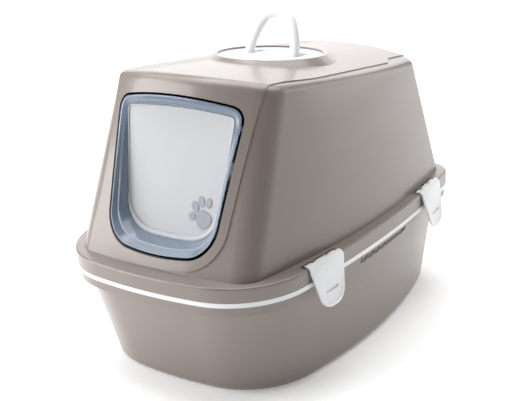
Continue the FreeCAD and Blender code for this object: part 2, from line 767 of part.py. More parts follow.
def make_hood():
    recessed = hood_block("side_panels", size["panel_recess"], shoulder - wall, size["panel_recess"])
    proud = hood_block("band", Length(0, "0"), shoulder - wall, Length(0, "0"))
    strap = door_prism("band_strip", -size["band_margin"], size["rim_half_width"], whole=True)
    strip = common([proud, fuse([strap, roof_band()], "band_plan")], "band_form")
    collar = new_body("collar")
    cone = sketch_on(collar, "XZ_Plane", "collar_profile")
    polygon(cone, [(0, size["collar_rise"]), (size["collar_top_radius"], size["collar_rise"]),
                   (size["collar_foot_radius"], -size["collar_foot_drop"]), (0, -size["collar_foot_drop"])])
    revolve(collar, cone, "collar_cone")
    on_roof(collar)
    outside = fuse([recessed, strip, collar], "hood_outside")
    inside_block = hood_block("cabin", wall + size["panel_recess"], shoulder - wall * 3, wall + size["panel_recess"])
    hollow_cone = new_body("collar_hollow")
    under_cone = sketch_on(hollow_cone, "XZ_Plane", "collar_hollow_profile")
    slant = wall * 1.3
    polygon(under_cone, [(0, size["collar_rise"] - wall), (size["collar_top_radius"] - slant, size["collar_rise"] - wall),
                         (size["collar_foot_radius"] - slant, -size["collar_foot_drop"] - size["wall"] * 0.3),
                         (0, -size["collar_foot_drop"] - size["wall"] * 0.3)])
    revolve(hollow_cone, under_cone, "collar_hollow_cone")
    on_roof(hollow_cone)
    dome = cut(cut(outside, inside_block, "walled_block"), hollow_cone, "dome")
    # flange: a flat shoulder round the dome and a band that hangs from its edge
    flange = new_body("hood_flange")
    edge = sketch_on(flange, "XY_Plane", "band_outline", band_bottom)
    rim_outline(edge)
    pad(flange, edge, size["band_height"], "band_block")
    round_edges(flange, lies_at(shoulder.value), size["band_edge_round"], "band_edge")
    under = sketch_on(flange, "XY_Plane", "band_under", shoulder - wall)
    rim_outline(under, wall)
    pocket(flange, under, size["band_height"], "band_underside")
    throat = sketch_on(flange, "XY_Plane", "throat", shoulder)
    hood_foot_outline(throat, wall + size["panel_recess"])
    pocket(flange, throat, size["band_height"], "throat_cut")
    # filter well under the collar
    well = new_body("filter_well")
    ring = sketch_on(well, "XZ_Plane", "well_profile")
    bore = size["dish_radius"] + size["seat_gap"]
    seat = size["collar_rise"] - size["dish_drop"] - size["dish_thickness"]
    polygon(ring, [(bore, size["collar_rise"]), (bore + wall, size["collar_rise"]), (bore + wall, seat - wall),
                   (size["well_radius"] + wall, seat - wall), (size["well_radius"] + wall, -size["well_depth"]),
                   (size["well_radius"], -size["well_depth"]), (size["well_radius"], seat), (bore, seat)])
    revolve(well, ring, "well_ring")
    on_roof(well)
    bore_cut = new_body("collar_bore")
    disc = sketch_on(bore_cut, "XY_Plane", "bore_circle", size["collar_rise"] * 3)
    circle(disc, 0, 0, bore)
    pad(bore_cut, disc, size["collar_rise"] * 10, "bore_block", reverse=True)
    on_roof(bore_cut)
    doorway = door_prism("doorway", 0)
    solid = fuse([cut(dome, bore_cut, "open_dome"), flange], "hood_shell")
    opened = cut(solid, fuse([doorway] + clip_notches(), "hood_openings"), "hood_with_door")
    bosses = []
    for side, name in SIDES:
        boss = along_x(f"hinge_boss_{name}", side, door_half_at_axis + size["boss_step"], size["boss_length"],
                       size["flap_boss_radius"], -flap_axis_y, size["flap_axis_z"])
        bosses.append(boss)
    kept_bosses = common([fuse(bosses, "hinge_bosses"), proud], "hinge_bosses_in_wall")
    with_bosses = fuse([opened, well, kept_bosses] + catch_posts() + clip_lugs(), "hood_body")
    holes = []
    for side, name in SIDES:
        holes.append(along_x(f"hinge_hole_{name}", side, flap_boss_start, size["flap_pin_length"],
                             size["flap_pin_radius"], -flap_axis_y, size["flap_axis_z"]))
    parts["hood"] = cut(with_bosses, fuse(clip_cuts() + holes, "hood_cuts"), "hood")
    return proud


SIDES = ((1, "right"), (-1, "left"))
CLIPS = (("front_right", "front", -1, 1), ("rear_right", "rear", 1, 1),
         ("front_left", "front", -1, -1), ("rear_left", "rear", 1, -1))


def along_x(label, side, start, length, radius, y, z):
    """A round bar along X, from start outwards on one side."""
    body = new_body(label)
    outline = sketch_on(body, "YZ_Plane", f"{label}_circle", start * side)
    circle(outline, y, z, radius)
    pad(body, outline, length, f"{label}_bar", reverse=side < 0)
    return body


def on_roof(thing, x=0, z=0, lean=0):
    """Set a piece in the collar's frame, square to the roof's slope; z is the height of its origin in
    that frame, and lean turns it further back about that origin."""
    x, z, slope = as_length(x), as_length(z), Length(size["roof_slope"].value, "(sizes.roof_slope * 1deg)")
    sine = Length(math.sin(degrees("roof_slope")), f"sin({slope.text})")
    cosine = Length(math.cos(degrees("roof_slope")), f"cos({slope.text})")
    y, height = size["collar_y"] + z * sine, collar_height + z * cosine
    turn = slope + lean if lean else slope
    thing.Placement = Placement(Vector(x.value, y.value, height.value), Rotation(Vector(-1, 0, 0), turn.value))
    bind(thing, "Placement.Base.x", x)
    bind(thing, "Placement.Base.y", y)
    bind(thing, "Placement.Base.z", height)
    bind(thing, "Placement.Rotation.Angle", turn)
    return thing


def catch_posts():
    """Riveted posts that carry the grid's turn catches."""
    posts = []
    for side, name in SIDES:
        post = new_body(f"catch_post_{name}")
        top = size["collar_rise"] - size["dish_drop"] - size["dish_thickness"] - wall / 2
        wing_low = catch_top - size["catch_thickness"] - size["seat_gap"]
        profile = sketch_on(post, "XZ_Plane", "post_profile")
        head = size["catch_hub_radius"] - 2
        polygon(profile, [(0, top), (size["catch_post_radius"], top), (size["catch_post_radius"], wing_low),
                          (head, wing_low), (head, wing_low - 1.6), (0, wing_low - 1.6)])
        revolve(post, profile, "post_turned")
        on_roof(post, size["catch_distance"] * side)
        posts.append(post)
    return posts


catch_top = -size["well_depth"] - size["grid_thickness"] - size["seat_gap"]


def at_clip(thing, place, end, side):
    """Set a piece in a clip's frame: x outward from the rim, y along it, z up."""
    radius, y = size["rim_side_radius"], clip_middle[place] * end
    turn = math.degrees(math.asin(y.value / radius.value))
    x = size["rim_half_width"].value - radius.value + math.sqrt(radius.value ** 2 - y.value ** 2)
    x_text = f"(sizes.rim_half_width - {radius.text} + sqrt({radius.text} ^ 2 - {y.text} ^ 2))"
    turn_text = f"asin({y.text} / {radius.text})"
    if side < 0:
        x, x_text, turn, turn_text = -x, f"(0 - {x_text})", 180 - turn, f"(180deg - {turn_text})"
    angle = turn if turn >= 0 else -turn
    angle_text = turn_text if turn >= 0 else f"(0deg - {turn_text})"
    axis = Vector(0, 0, 1 if turn >= 0 else -1)
    thing.Placement = Placement(Vector(x, y.value, 0), Rotation(axis, angle))
    bind(thing, "Placement.Base.x", Length(x, x_text))
    bind(thing, "Placement.Base.y", y)
    bind(thing, "Placement.Rotation.Angle", Length(angle, angle_text))
    return thing


def clip_lugs():
    """Two knuckles on the hood behind each clip, joined to the shoulder."""
    lugs = []
    for name, place, end, side in CLIPS:
        lug = new_body(f"clip_lugs_{name}")
        for sign in (-1, 1):
            middle = size["clip_lug_offset"] * sign + size["clip_lug_width"] / 2
            bar = sketch_on(lug, "XZ_Plane", f"lug_{'a' if sign < 0 else 'b'}", middle)
            axis_x, radius = -size["clip_axis_in"], size["clip_barrel_radius"] - 0.6
            circle(bar, axis_x, size["clip_axis_z"], radius)
            pad(lug, bar, size["clip_lug_width"], f"knuckle_{'a' if sign < 0 else 'b'}", reverse=True)
            arm = sketch_on(lug, "XZ_Plane", f"arm_{'a' if sign < 0 else 'b'}", middle)
            low, high = size["clip_axis_z"] - radius * 0.8, shoulder
            polygon(arm, [(axis_x - radius * 2.2, low), (axis_x, low), (axis_x, high), (axis_x - radius * 2.2, high)])
            pad(lug, arm, size["clip_lug_width"], f"arm_block_{'a' if sign < 0 else 'b'}", reverse=True)
        lugs.append(at_clip(lug, place, end, side))
    return lugs


def clip_cuts():
    """The pin holes through the knuckles."""
    cuts = []
    for name, place, end, side in CLIPS:
        hole = new_body(f"clip_pin_hole_{name}")
        outline = sketch_on(hole, "XZ_Plane", "pin_circle")
        circle(outline, -size["clip_axis_in"], size["clip_axis_z"], size["clip_pin_radius"])
        pad(hole, outline, size["clip_pin_length"], "hole", both_ways=True)
        cuts.append(at_clip(hole, place, end, side))
    return cuts


def clip_notches():
    """The gaps in the shoulder and the band in which the clips lie."""
    notches = []
    for name, place, end, side in CLIPS:
        notch = new_body(f"clip_notch_{name}")
        outline = sketch_on(notch, "XY_Plane", "notch_outline", band_bottom - 1)
        half = size["clip_width"] / 2 + size["clip_side_gap"]
        polygon(outline, [(-size["notch_depth"], -half), (4, -half), (4, half), (-size["notch_depth"], half)])
        pad(notch, outline, size["band_height"] + 4, "notch_block")
        notches.append(at_clip(notch, place, end, side))
    return notches


# ---------------------------------------------------------------- carrying handle
def make_handle():
    dish = new_body("dish_form")
    top = size["collar_rise"] - size["dish_drop"]
    under = top - size["dish_thickness"]
    disc = sketch_on(dish, "XY_Plane", "dish_circle", under)
    circle(disc, 0, 0, size["dish_radius"])
    pad(dish, disc, size["dish_thickness"], "dish_plate")
    for side, name in SIDES:
        outer = sketch_on(dish, "XY_Plane", f"trough_outside_{name}", top - size["dish_thickness"] / 2)
        trough_outline(outer, side, size["dish_thickness"])
        pad(dish, outer, size["trough_depth"] + size["dish_thickness"] / 2, f"trough_block_{name}", reverse=True)
    for side, name in SIDES:
        inner = sketch_on(dish, "XY_Plane", f"trough_inside_{name}", top)
        trough_outline(inner, side, as_length(0))
        pocket(dish, inner, size["trough_depth"], f"trough_hollow_{name}")
    pivot = top - size["handle_pivot_drop"]
    holes = []
    start = size["trough_inner"] - size["handle_pin_grip"]
    length = size["trough_outer"] - size["trough_inner"] + size["handle_pin_grip"] * 2
    for side, name in SIDES:
        holes.append(along_x(f"dish_hole_{name}", side, start, length, size["handle_pin_radius"], 0, pivot))
        pin = along_x(f"handle_pin_{name}", side, start, length, size["handle_pin_radius"], 0, pivot)
        parts[f"handle_pin_{name}"] = on_roof(pin)
    parts["handle_dish"] = on_roof(cut(dish, fuse(holes, "dish_holes"), "handle_dish"))
    # the handle is drawn about its pivot, and leans back in use
    arch = new_body("handle_arch")
    path = sketch_on(arch, "XZ_Plane", "arch_path")
    arch_path(path)
    section = sketch_on(arch, "XY_Plane", "arch_section")
    ellipse(section, size["handle_half_span"], as_length(0), size["handle_bar"], size["handle_bar_depth"])
    sweep = arch.newObject("PartDesign::AdditivePipe", "arch_sweep")
    sweep.Profile = section
    sweep.Spine = (path, ["Edge1", "Edge2", "Edge3"])
    sweep.Mode = "Frenet"
    arch.Tip = sweep
    feet, bores = [], []
    for side, name in SIDES:
        outer = size["handle_half_span"] - size["handle_bar"]
        feet.append(along_x(f"handle_foot_{name}", side, outer, size["handle_bar"] * 2,
                            size["handle_foot_radius"], 0, 0))
        bores.append(along_x(f"handle_bore_{name}", side, outer - 1, size["handle_bar"] * 2 + 2,
                             size["handle_pin_radius"] + size["pin_play"], 0, 0))
    solid = fuse([arch] + feet, "handle_solid")
    handle = cut(solid, fuse(bores, "handle_bores"), "carry_handle")
    parts["carry_handle"] = on_roof(handle, z=pivot, lean=Length(size["handle_lean"].value, "(sizes.handle_lean * 1deg)"))


def trough_outline(sketch, side, grow):
    """The hollow a handle's foot turns in, wider behind where the arch comes down."""
    inner, outer, rear_inner = size["trough_inner"] - grow, size["trough_outer"] + grow, size["trough_rear_inner"] - grow
    front, rear = -size["trough_front"] - grow, size["trough_rear"] + grow
    corners = [(inner, front), (outer, front), (outer, rear - 12), (outer - 9, rear), (rear_inner, rear),
               (rear_inner, rear - 9), (inner, size["trough_front"] - 1)]
    polygon(sketch, [(x * side, y) for x, y in corners])


def arch_path(sketch):
    """Half of an upright oval: two flat side arcs and a tighter top arc."""
    half, top_radius = size["handle_half_span"], size["handle_top_radius"]
    rise = size["handle_rise"]
    step = rise.value - top_radius.value
    side_radius = (half.value ** 2 + step ** 2 - top_radius.value ** 2) / (2 * (half.value - top_radius.value))
    right = Vector(half.value - side_radius, 0, 0)
    left = Vector(-right.x, 0, 0)
    crown = Vector(0, step, 0)
    right_end = touch(right, side_radius, crown)
    left_end = Vector(-right_end.x, right_end.y, 0)
    foot_right, foot_left = Vector(half.value, 0, 0), Vector(-half.value, 0, 0)
    sketch.addGeometry([arc(right, side_radius, foot_right, right_end),
                        arc(crown, top_radius.value, right_end, left_end),
                        arc(left, side_radius, left_end, foot_left)], False)
    sketch.addConstraint(Sketcher.Constraint("Tangent", 0, 2, 1, 1))
    sketch.addConstraint(Sketcher.Constraint("Tangent", 1, 2, 2, 1))
    fix_point(sketch, 0, 1, half, 0)
    fix_point(sketch, 2, 2, -half, 0)
    fix_point(sketch, 1, 3, 0, rise - top_radius)
    fix(sketch, "Radius", top_radius, 1)


def ellipse(sketch, x, y, across, along, turn=0):
    """An ellipse by its two half-axes; the first lies along x, or turned from it in degrees."""
    x, y, across, along, turn = (as_length(value) for value in (x, y, across, along, turn))
    cosine, sine = math.cos(math.radians(turn.value)), math.sin(math.radians(turn.value))
    centre = Vector(x.value, y.value, 0)
    tip = centre + Vector(cosine, sine, 0) * across.value
    side = centre + Vector(-sine, cosine, 0) * along.value
    index = sketch.addGeometry(Part.Ellipse(tip, side, centre), False)
    sketch.exposeInternalGeometry(index)
    fix_point(sketch, index, 3, x, y)
    for i, start in ((index + 1, across), (index + 2, along)):
        fix(sketch, "Distance", start * 2, i, 1, i, 2)
    if abs(sine) < 1e-9:
        sketch.addConstraint(Sketcher.Constraint("Horizontal", index + 1))
    else:
        number = sketch.addConstraint(Sketcher.Constraint("Angle", index + 1, math.radians(turn.value)))
        sketch.renameConstraint(number, f"turn_{number}")
        sketch.setExpression(f"Constraints.turn_{number}", f"{turn.text} * 1deg")


# ---------------------------------------------------------------- filter, grid and its catches
def make_filter():
    filter_pad = new_body("filter_pad")
    disc = sketch_on(filter_pad, "XY_Plane", "pad_circle", -size["well_depth"])
    circle(disc, 0, 0, size["filter_radius"])
    pad(filter_pad, disc, size["filter_thickness"], "pad_block")
    parts["filter_pad"] = on_roof(filter_pad)
    plate = new_body("grid_plate")
    disc = sketch_on(plate, "XY_Plane", "grid_circle", -size["well_depth"])
    circle(disc, 0, 0, size["grid_radius"])
    pad(plate, disc, size["grid_thickness"], "grid_block", reverse=True)
    slots = new_body("grid_slots")
    outline = sketch_on(slots, "XY_Plane", "slot_outline", -size["well_depth"] + 1)
    count = as_length(11)
    low_x = -size["grid_slot_pitch"] * (count - 1) / 2 - size["grid_slot_width"] / 2
    reach = size["grid_radius"]
    polygon(outline, [(low_x, -reach), (low_x + size["grid_slot_width"], -reach),
                      (low_x + size["grid_slot_width"], reach), (low_x, reach)])
    first = pad(slots, outline, size["grid_thickness"] + 2, "slot", reverse=True)
    doc.recompute()
    row = slots.newObject("PartDesign::LinearPattern", "slot_row")
    row.Originals = [first]
    row.Direction = (plane_of(slots, "X_Axis"), [""])
    bind(row, "Length", size["grid_slot_pitch"] * (count - 1))
    row.Occurrences = 11
    slots.Tip = row
    field = new_body("slot_field")
    disc = sketch_on(field, "XY_Plane", "field_circle", -size["well_depth"] + 1)
    circle(disc, 0, 0, size["filter_radius"] - 3)
    pad(field, disc, size["grid_thickness"] + 2, "field_block", reverse=True)
    parts["filter_grid"] = on_roof(cut(plate, common([slots, field], "grid_openings"), "filter_grid"))
    for side, name in SIDES:
        catch = new_body(f"grid_catch_{name}")
        hub = sketch_on(catch, "XY_Plane", "hub_circle", catch_top)
        circle(hub, 0, 0, size["catch_hub_radius"])
        pad(catch, hub, size["catch_thickness"], "hub", reverse=True)
        wing = sketch_on(catch, "XY_Plane", "wing_outline", catch_top)
        half = size["catch_width"] / 2
        reach = size["catch_length"]
        polygon(wing, [(0, -half), (-(reach - 3) * side, -half), (-reach * side, -half + 3),
                       (-reach * side, half - 3), (-(reach - 3) * side, half), (0, half)])
        pad(catch, wing, size["catch_thickness"], "wing", reverse=True)
        bore = sketch_on(catch, "XY_Plane", "bore_circle", catch_top)
        circle(bore, 0, 0, size["catch_post_radius"] + size["pin_play"])
        pocket(catch, bore, size["catch_thickness"] * 2, "bore", )
        parts[f"grid_catch_{name}"] = on_roof(catch, size["catch_distance"] * side)


# ---------------------------------------------------------------- swing flap
def flap_form(label, grow, beyond):
    """The flap's drafted recess: from in front of the bowed face back to its leaning floor."""
    body = new_body(label)
    lead = size["flap_gap"] + size["flap_rim"] - size["flap_lead"] - grow
    deep = size["flap_gap"] + size["flap_rim"] + size["flap_draft"] - grow
    front = sketch_on(body, "XZ_Plane", "recess_front", front_at_ground, front_lean)
    door_outline(front, lead, lean=front_lean)
    back = sketch_on(body, "XZ_Plane", "recess_back", front_at_ground - size["flap_set_back"] - beyond, floor_lean)
    door_outline(back, deep, -size["window_top_drop"], floor_lean,
                 (size["window_top_corner"] + grow, size["window_bottom_corner"] + grow,
                  size["window_top_radius"] + grow))
    loft(body, [front, back], "recess_loft")
    straight = door_prism(f"{label}_straight", size["flap_gap"] + size["flap_rim"] - grow)
    return common([body, straight], f"{label}_drafted")


def make_flap(proud):
    behind = hood_block("flap_back", size["flap_wall"], shoulder - wall, size["flap_wall"])
    skin = cut(proud, behind, "front_skin")
    edge = door_prism("flap_edge", size["flap_gap"])
    rim = common([skin, edge], "flap_rim_plate")
    thick = size["window_thickness"] * floor_stretch
    hollow = flap_form("recess_inside", as_length(0), thick + 3)
    jacket = flap_form("recess_outside", size["flap_wall"], thick)
    walls = common([jacket, proud], "recess_walls")
    knuckles, bores = [], []
    for side, name in SIDES:
        start, length = flap_boss_start, size["flap_boss_length"]
        knuckles.append(along_x(f"flap_knuckle_{name}", side, start, length, size["flap_boss_radius"],
                                -flap_axis_y, size["flap_axis_z"]))
        web = new_body(f"flap_web_{name}")
        outline = sketch_on(web, "YZ_Plane", "web_outline", start * side)
        radius = size["flap_boss_radius"]
        polygon(outline, [(-flap_axis_y - radius * 3.2, size["flap_axis_z"] - radius),
                          (-flap_axis_y, size["flap_axis_z"] - radius),
                          (-flap_axis_y, size["flap_axis_z"] + radius),
                          (-flap_axis_y - radius * 3.2, size["flap_axis_z"] + radius)])
        pad(web, outline, length, "web", reverse=side < 0)
        knuckles.append(web)
        bores.append(along_x(f"flap_bore_{name}", side, start - 2, length + 4,
                             size["flap_pin_radius"] + size["pin_play"], -flap_axis_y, size["flap_axis_z"]))
        parts[f"flap_pin_{name}"] = along_x(f"flap_pin_{name}", side, start, size["flap_pin_length"],
                                            size["flap_pin_radius"], -flap_axis_y, size["flap_axis_z"])
    kept = common([fuse(knuckles, "flap_knuckles"), proud], "flap_knuckles_behind_face")
    solid = fuse([rim, walls, kept], "flap_solid")
    parts["flap_frame"] = cut(solid, fuse([hollow] + bores, "flap_hollows"), "flap_frame")
    slab = new_body("window_slab")
    face = sketch_on(slab, "XZ_Plane", "slab_face", front_at_ground - size["flap_set_back"], floor_lean)
    half, low, high = size["door_half_width"], size["door_bottom"] * 0.9, size["door_top"] * 1.1
    polygon(face, [(-half, low), (half, low), (half, high), (-half, high)])
    pad(slab, face, size["window_thickness"], "slab", reverse=True)
    parts["flap_window"] = common([slab, hollow], "flap_window")
    paw = new_body("paw_inlay")
    mark = sketch_on(paw, "XZ_Plane", "paw_outline", front_at_ground - size["flap_set_back"], floor_lean)
    unit, turn = size["paw_size"], size["paw_turn"]
    cosine = Length(math.cos(degrees("paw_turn")), "cos(sizes.paw_turn * 1deg)")
    sine = Length(math.sin(degrees("paw_turn")), "sin(sizes.paw_turn * 1deg)")

    def pad_at(across, up, half_length, half_width, tilt):
        x = size["paw_x"] + unit * (cosine * across - sine * up)
        z = size["paw_z"] * floor_stretch + unit * (sine * across + cosine * up)
        ellipse(mark, x, z, unit * half_length, unit * half_width, turn + tilt)

    pad_at(0, -0.35, 0.8, 0.7, 0)
    for across, up, tilt in ((-1.15, 0.45, 120), (-0.42, 1.08, 98), (0.42, 1.08, 82), (1.15, 0.45, 60)):
        pad_at(across, up, 0.44, 0.33, tilt)
    pad(paw, mark, size["paw_thickness"], "paw_pads")
    parts["paw_inlay"] = paw


# ---------------------------------------------------------------- side clips
def make_clips():
    for name, place, end, side in CLIPS:
        form = new_body(f"clip_form_{name}")
        half = size["clip_width"] / 2
        plate, top, face = size["clip_plate"], size["clip_top"], size["clip_face_out"]
        axis_x, axis_z = -size["clip_axis_in"], size["clip_axis_z"]
        back, tip, bevel = axis_x - 2, size["clip_tip_z"], size["clip_bevel"]
        flare = size["clip_flare"] / (top - bevel - tip)
        profile = sketch_on(form, "XZ_Plane", "clip_profile")
        polygon(profile, [(back, top), (face - bevel, top), (face, top - bevel), (face + size["clip_flare"], tip),
                          (face + size["clip_flare"] - plate, tip), (face - plate, top - bevel - plate * 0.4),
                          (face - bevel - plate * 0.4, top - plate), (back, top - plate)])
        pad(form, profile, size["clip_width"], "clip_plate_block", both_ways=True)
        barrel = sketch_on(form, "XZ_Plane", "barrel_circle")
        circle(barrel, axis_x, axis_z, size["clip_barrel_radius"])
        pad(form, barrel, size["clip_width"], "barrel", both_ways=True)
        hook = sketch_on(form, "XZ_Plane", "hook_profile")
        under = size["tray_height"] - size["flange_thickness"]
        inside = face - plate / 2 + (top - bevel - under) * flare
        polygon(hook, [(inside, under - 0.9), (-size["clip_hook_reach"], under - size["clip_hook_drop"]),
                       (-size["clip_hook_reach"], under - 4), (inside, under - size["clip_hook_height"] - 1.5)])
        pad(form, hook, size["clip_tip_width"], "hook", both_ways=True)
        outline_body = new_body(f"clip_outline_{name}")
        outline = sketch_on(outline_body, "YZ_Plane", "clip_outline", -size["clip_axis_in"] * 2)
        tip_half, level = size["clip_tip_width"] / 2, size["clip_taper_z"]
        polygon(outline, [(-half, top + 5), (-half, level), (-tip_half, tip), (tip_half, tip), (half, level),
                          (half, top + 5)])
        pad(outline_body, outline, size["clip_axis_in"] * 4, "outline_block")
        radius_edges(outline_body, tip, size["clip_tip_round"])
        reliefs = new_body(f"clip_reliefs_{name}")
        for sign, tag in ((-1, "a"), (1, "b")):
            width = size["clip_lug_width"] + 1
            middle = size["clip_lug_offset"] * sign + width / 2
            relief = sketch_on(reliefs, "XZ_Plane", f"relief_{tag}", middle)
            polygon(relief, [(back - 4, axis_z - 8), (axis_x + size["clip_barrel_radius"] + 0.6, axis_z - 8),
                             (axis_x + size["clip_barrel_radius"] + 0.6, top + 2), (back - 4, top + 2)])
            pad(reliefs, relief, width, f"relief_block_{tag}", reverse=True)
        slot = new_body(f"clip_slot_{name}")
        at_slot = face + (top - bevel - size["clip_slot_z"]) * flare
        mark = sketch_on(slot, "YZ_Plane", "slot_outline", at_slot - size["clip_plate"] * 0.6)
        slot_outline(mark, size["clip_slot_z"], size["clip_slot_length"], size["clip_slot_width"])
        pad(slot, mark, size["clip_plate"] * 2, "slot_block")
        bore = new_body(f"clip_bore_{name}")
        hole = sketch_on(bore, "XZ_Plane", "bore_circle")
        circle(hole, axis_x, axis_z, size["clip_pin_radius"] + size["pin_play"])
        pad(bore, hole, size["clip_width"] * 1.2, "bore_bar", both_ways=True)
        shaped = common([form, outline_body], f"clip_shaped_{name}")
        finished = cut(shaped, fuse([reliefs, slot, bore], f"clip_cuts_{name}"), f"clip_{name}")
        parts[f"clip_{name}"] = at_clip(finished, place, end, side)
        pin = new_body(f"clip_pin_{name}")
        round_bar = sketch_on(pin, "XZ_Plane", "pin_circle")
        circle(round_bar, axis_x, axis_z, size["clip_pin_radius"])
        pad(pin, round_bar, size["clip_pin_length"], "pin_bar", both_ways=True)
        parts[f"clip_pin_{name}"] = at_clip(pin, place, end, side)


def radius_edges(body, height, radius):
    """Round the two lower corners of a clip's outline."""
    def corner(edge):
        box = edge.BoundBox
        return abs(box.ZMin - height.value) < 0.01 and abs(box.ZMax - height.value) < 0.01 and box.YLength < 0.01
    round_edges(body, corner, radius, "tip_corners")


def slot_outline(sketch, z, length, width):
    """A slot with round ends."""
    reach, radius = length / 2 - width / 2, width / 2
    low, high = z - radius, z + radius
    ends = [Vector(reach.value, low.value, 0), Vector(reach.value, high.value, 0),
            Vector(-reach.value, high.value, 0), Vector(-reach.value, low.value, 0)]
    right, left = Vector(reach.value, z.value, 0), Vector(-reach.value, z.value, 0)
    chain(sketch, [Part.LineSegment(ends[3], ends[0]), arc(right, radius.value, ends[0], ends[1]),
                   Part.LineSegment(ends[1], ends[2]), arc(left, radius.value, ends[2], ends[3])])
    fix_point(sketch, 1, 3, reach, z)
    fix_point(sketch, 3, 3, -reach, z)
    fix(sketch, "Radius", radius, 1)


make_tray()
make_guard()
band_form = make_hood()
make_handle()
make_filter()
make_flap(band_form)
make_clips()
doc.recompute()

unsound = [thing.Label for thing in doc.Objects if "Invalid" in thing.State or "Error" in thing.State]
for node, thing in parts.items():
    if thing.Shape.isNull() or not thing.Shape.isValid() or not thing.Shape.Solids:
        unsound.append(node)
if unsound:
    raise ValueError(f"these pieces do not build: {', '.join(unsound)}")
os.makedirs("parts", exist_ok=True)
for node, thing in parts.items():
    thing.Shape.exportStep(f"parts/{node}.step")
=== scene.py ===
# Cat litter box with hood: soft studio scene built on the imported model.
import json
import math
import bmesh
import bpy
from mathutils import Matrix, Vector


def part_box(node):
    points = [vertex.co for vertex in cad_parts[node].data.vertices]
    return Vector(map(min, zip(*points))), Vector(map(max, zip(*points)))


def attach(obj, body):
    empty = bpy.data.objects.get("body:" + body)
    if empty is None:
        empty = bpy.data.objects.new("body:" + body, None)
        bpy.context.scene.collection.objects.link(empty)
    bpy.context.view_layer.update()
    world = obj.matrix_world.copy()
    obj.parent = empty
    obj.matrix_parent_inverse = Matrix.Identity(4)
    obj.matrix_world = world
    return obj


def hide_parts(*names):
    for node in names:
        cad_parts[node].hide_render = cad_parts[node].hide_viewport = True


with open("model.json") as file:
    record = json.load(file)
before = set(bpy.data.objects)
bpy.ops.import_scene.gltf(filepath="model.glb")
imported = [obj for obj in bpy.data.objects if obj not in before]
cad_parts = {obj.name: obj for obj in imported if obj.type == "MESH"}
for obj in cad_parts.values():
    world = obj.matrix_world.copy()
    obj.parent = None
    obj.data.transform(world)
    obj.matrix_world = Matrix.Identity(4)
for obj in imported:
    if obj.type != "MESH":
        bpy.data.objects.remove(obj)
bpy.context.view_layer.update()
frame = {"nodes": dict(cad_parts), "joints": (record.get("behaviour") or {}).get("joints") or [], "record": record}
nodes = frame["nodes"]
scene = bpy.context.scene
scene.view_settings.view_transform = "Standard"
bpy.ops.object.select_all(action="DESELECT")
upward = Vector((0, 0, 1))
touching = 0.00001  # metres within which two points count as level


def addObject(name, data):
    piece = bpy.data.objects.new(name, data)
    scene.collection.objects.link(piece)
    return piece


def wayTo(turn, rise):
    # Points at what stands so many degrees round from the front to the right, and so many up.
    turn, rise = math.radians(turn), math.radians(rise)
    level = Vector((math.sin(turn), -math.cos(turn), 0)) * math.cos(rise)
    return level + upward * math.sin(rise)


cameraSetup = {
    "turn": 34.95,
    "rise": 20.1,
    "roll": -3.26,
    "distance": 1.67429,
    "target": (0.0, 0.0197, 0.18288),
    "lens": 75.14,
    "shift": (-0.0338, -0.0005),
    "clipStart": 0.05,
}


def addCamera():
    back = wayTo(cameraSetup["turn"], cameraSetup["rise"])
    right = (-back).cross(upward).normalized()
    up = right.cross(-back)
    roll = math.radians(cameraSetup["roll"])
    right, up = (right * math.cos(roll) + up * math.sin(roll),
                 up * math.cos(roll) - right * math.sin(roll))
    place = Vector(cameraSetup["target"]) + back * cameraSetup["distance"]
    data = bpy.data.cameras.new("camera")
    data.lens = cameraSetup["lens"]
    data.shift_x, data.shift_y = cameraSetup["shift"]
    data.clip_start = cameraSetup["clipStart"]
    camera = addObject("camera", data)
    turned = Matrix((right, up, back)).transposed().to_4x4()
    camera.matrix_world = Matrix.Translation(place) @ turned
    scene.camera = camera


addCamera()
print("camera set")

# Material helpers. Object coordinates are metres, so a noise scale of 900 is about one grain a millimetre.


def newMaterial(name):
    material = bpy.data.materials.new(name)
    material.use_nodes = True
    tree = material.node_tree
    return material, tree, tree.nodes["Principled BSDF"]


def addNoise(tree, scale, detail=3.0, roughness=0.5, stretch=(1, 1, 1)):
    place = tree.nodes.new("ShaderNodeTexCoord")
    mapping = tree.nodes.new("ShaderNodeMapping")
    mapping.inputs["Scale"].default_value = stretch
    noise = tree.nodes.new("ShaderNodeTexNoise")
    noise.inputs["Scale"].default_value = scale
    noise.inputs["Detail"].default_value = detail
    noise.inputs["Roughness"].default_value = roughness
    tree.links.new(place.outputs["Object"], mapping.inputs["Vector"])
    tree.links.new(mapping.outputs["Vector"], noise.inputs["Vector"])
    return noise.outputs["Fac"]


def addRange(tree, value, low, high, start=0.0, end=1.0):
    spread = tree.nodes.new("ShaderNodeMapRange")
    ends = {"From Min": start, "From Max": end, "To Min": low, "To Max": high}
    for socket, number in ends.items():
        spread.inputs[socket].default_value = number
    tree.links.new(value, spread.inputs["Value"])
    return spread.outputs["Result"]


def addRamp(tree, value, colours):
    ramp = tree.nodes.new("ShaderNodeValToRGB")
    for element, colour in zip(ramp.color_ramp.elements, colours):
        element.color = (*colour, 1)
    tree.links.new(value, ramp.inputs["Fac"])
    return ramp.outputs["Color"]


def addBump(tree, heights, distance, strength, under=None):
    bump = tree.nodes.new("ShaderNodeBump")
    bump.inputs["Strength"].default_value = strength
    bump.inputs["Distance"].default_value = distance
    tree.links.new(heights, bump.inputs["Height"])
    if under is not None:
        tree.links.new(under, bump.inputs["Normal"])
    return bump.outputs["Normal"]


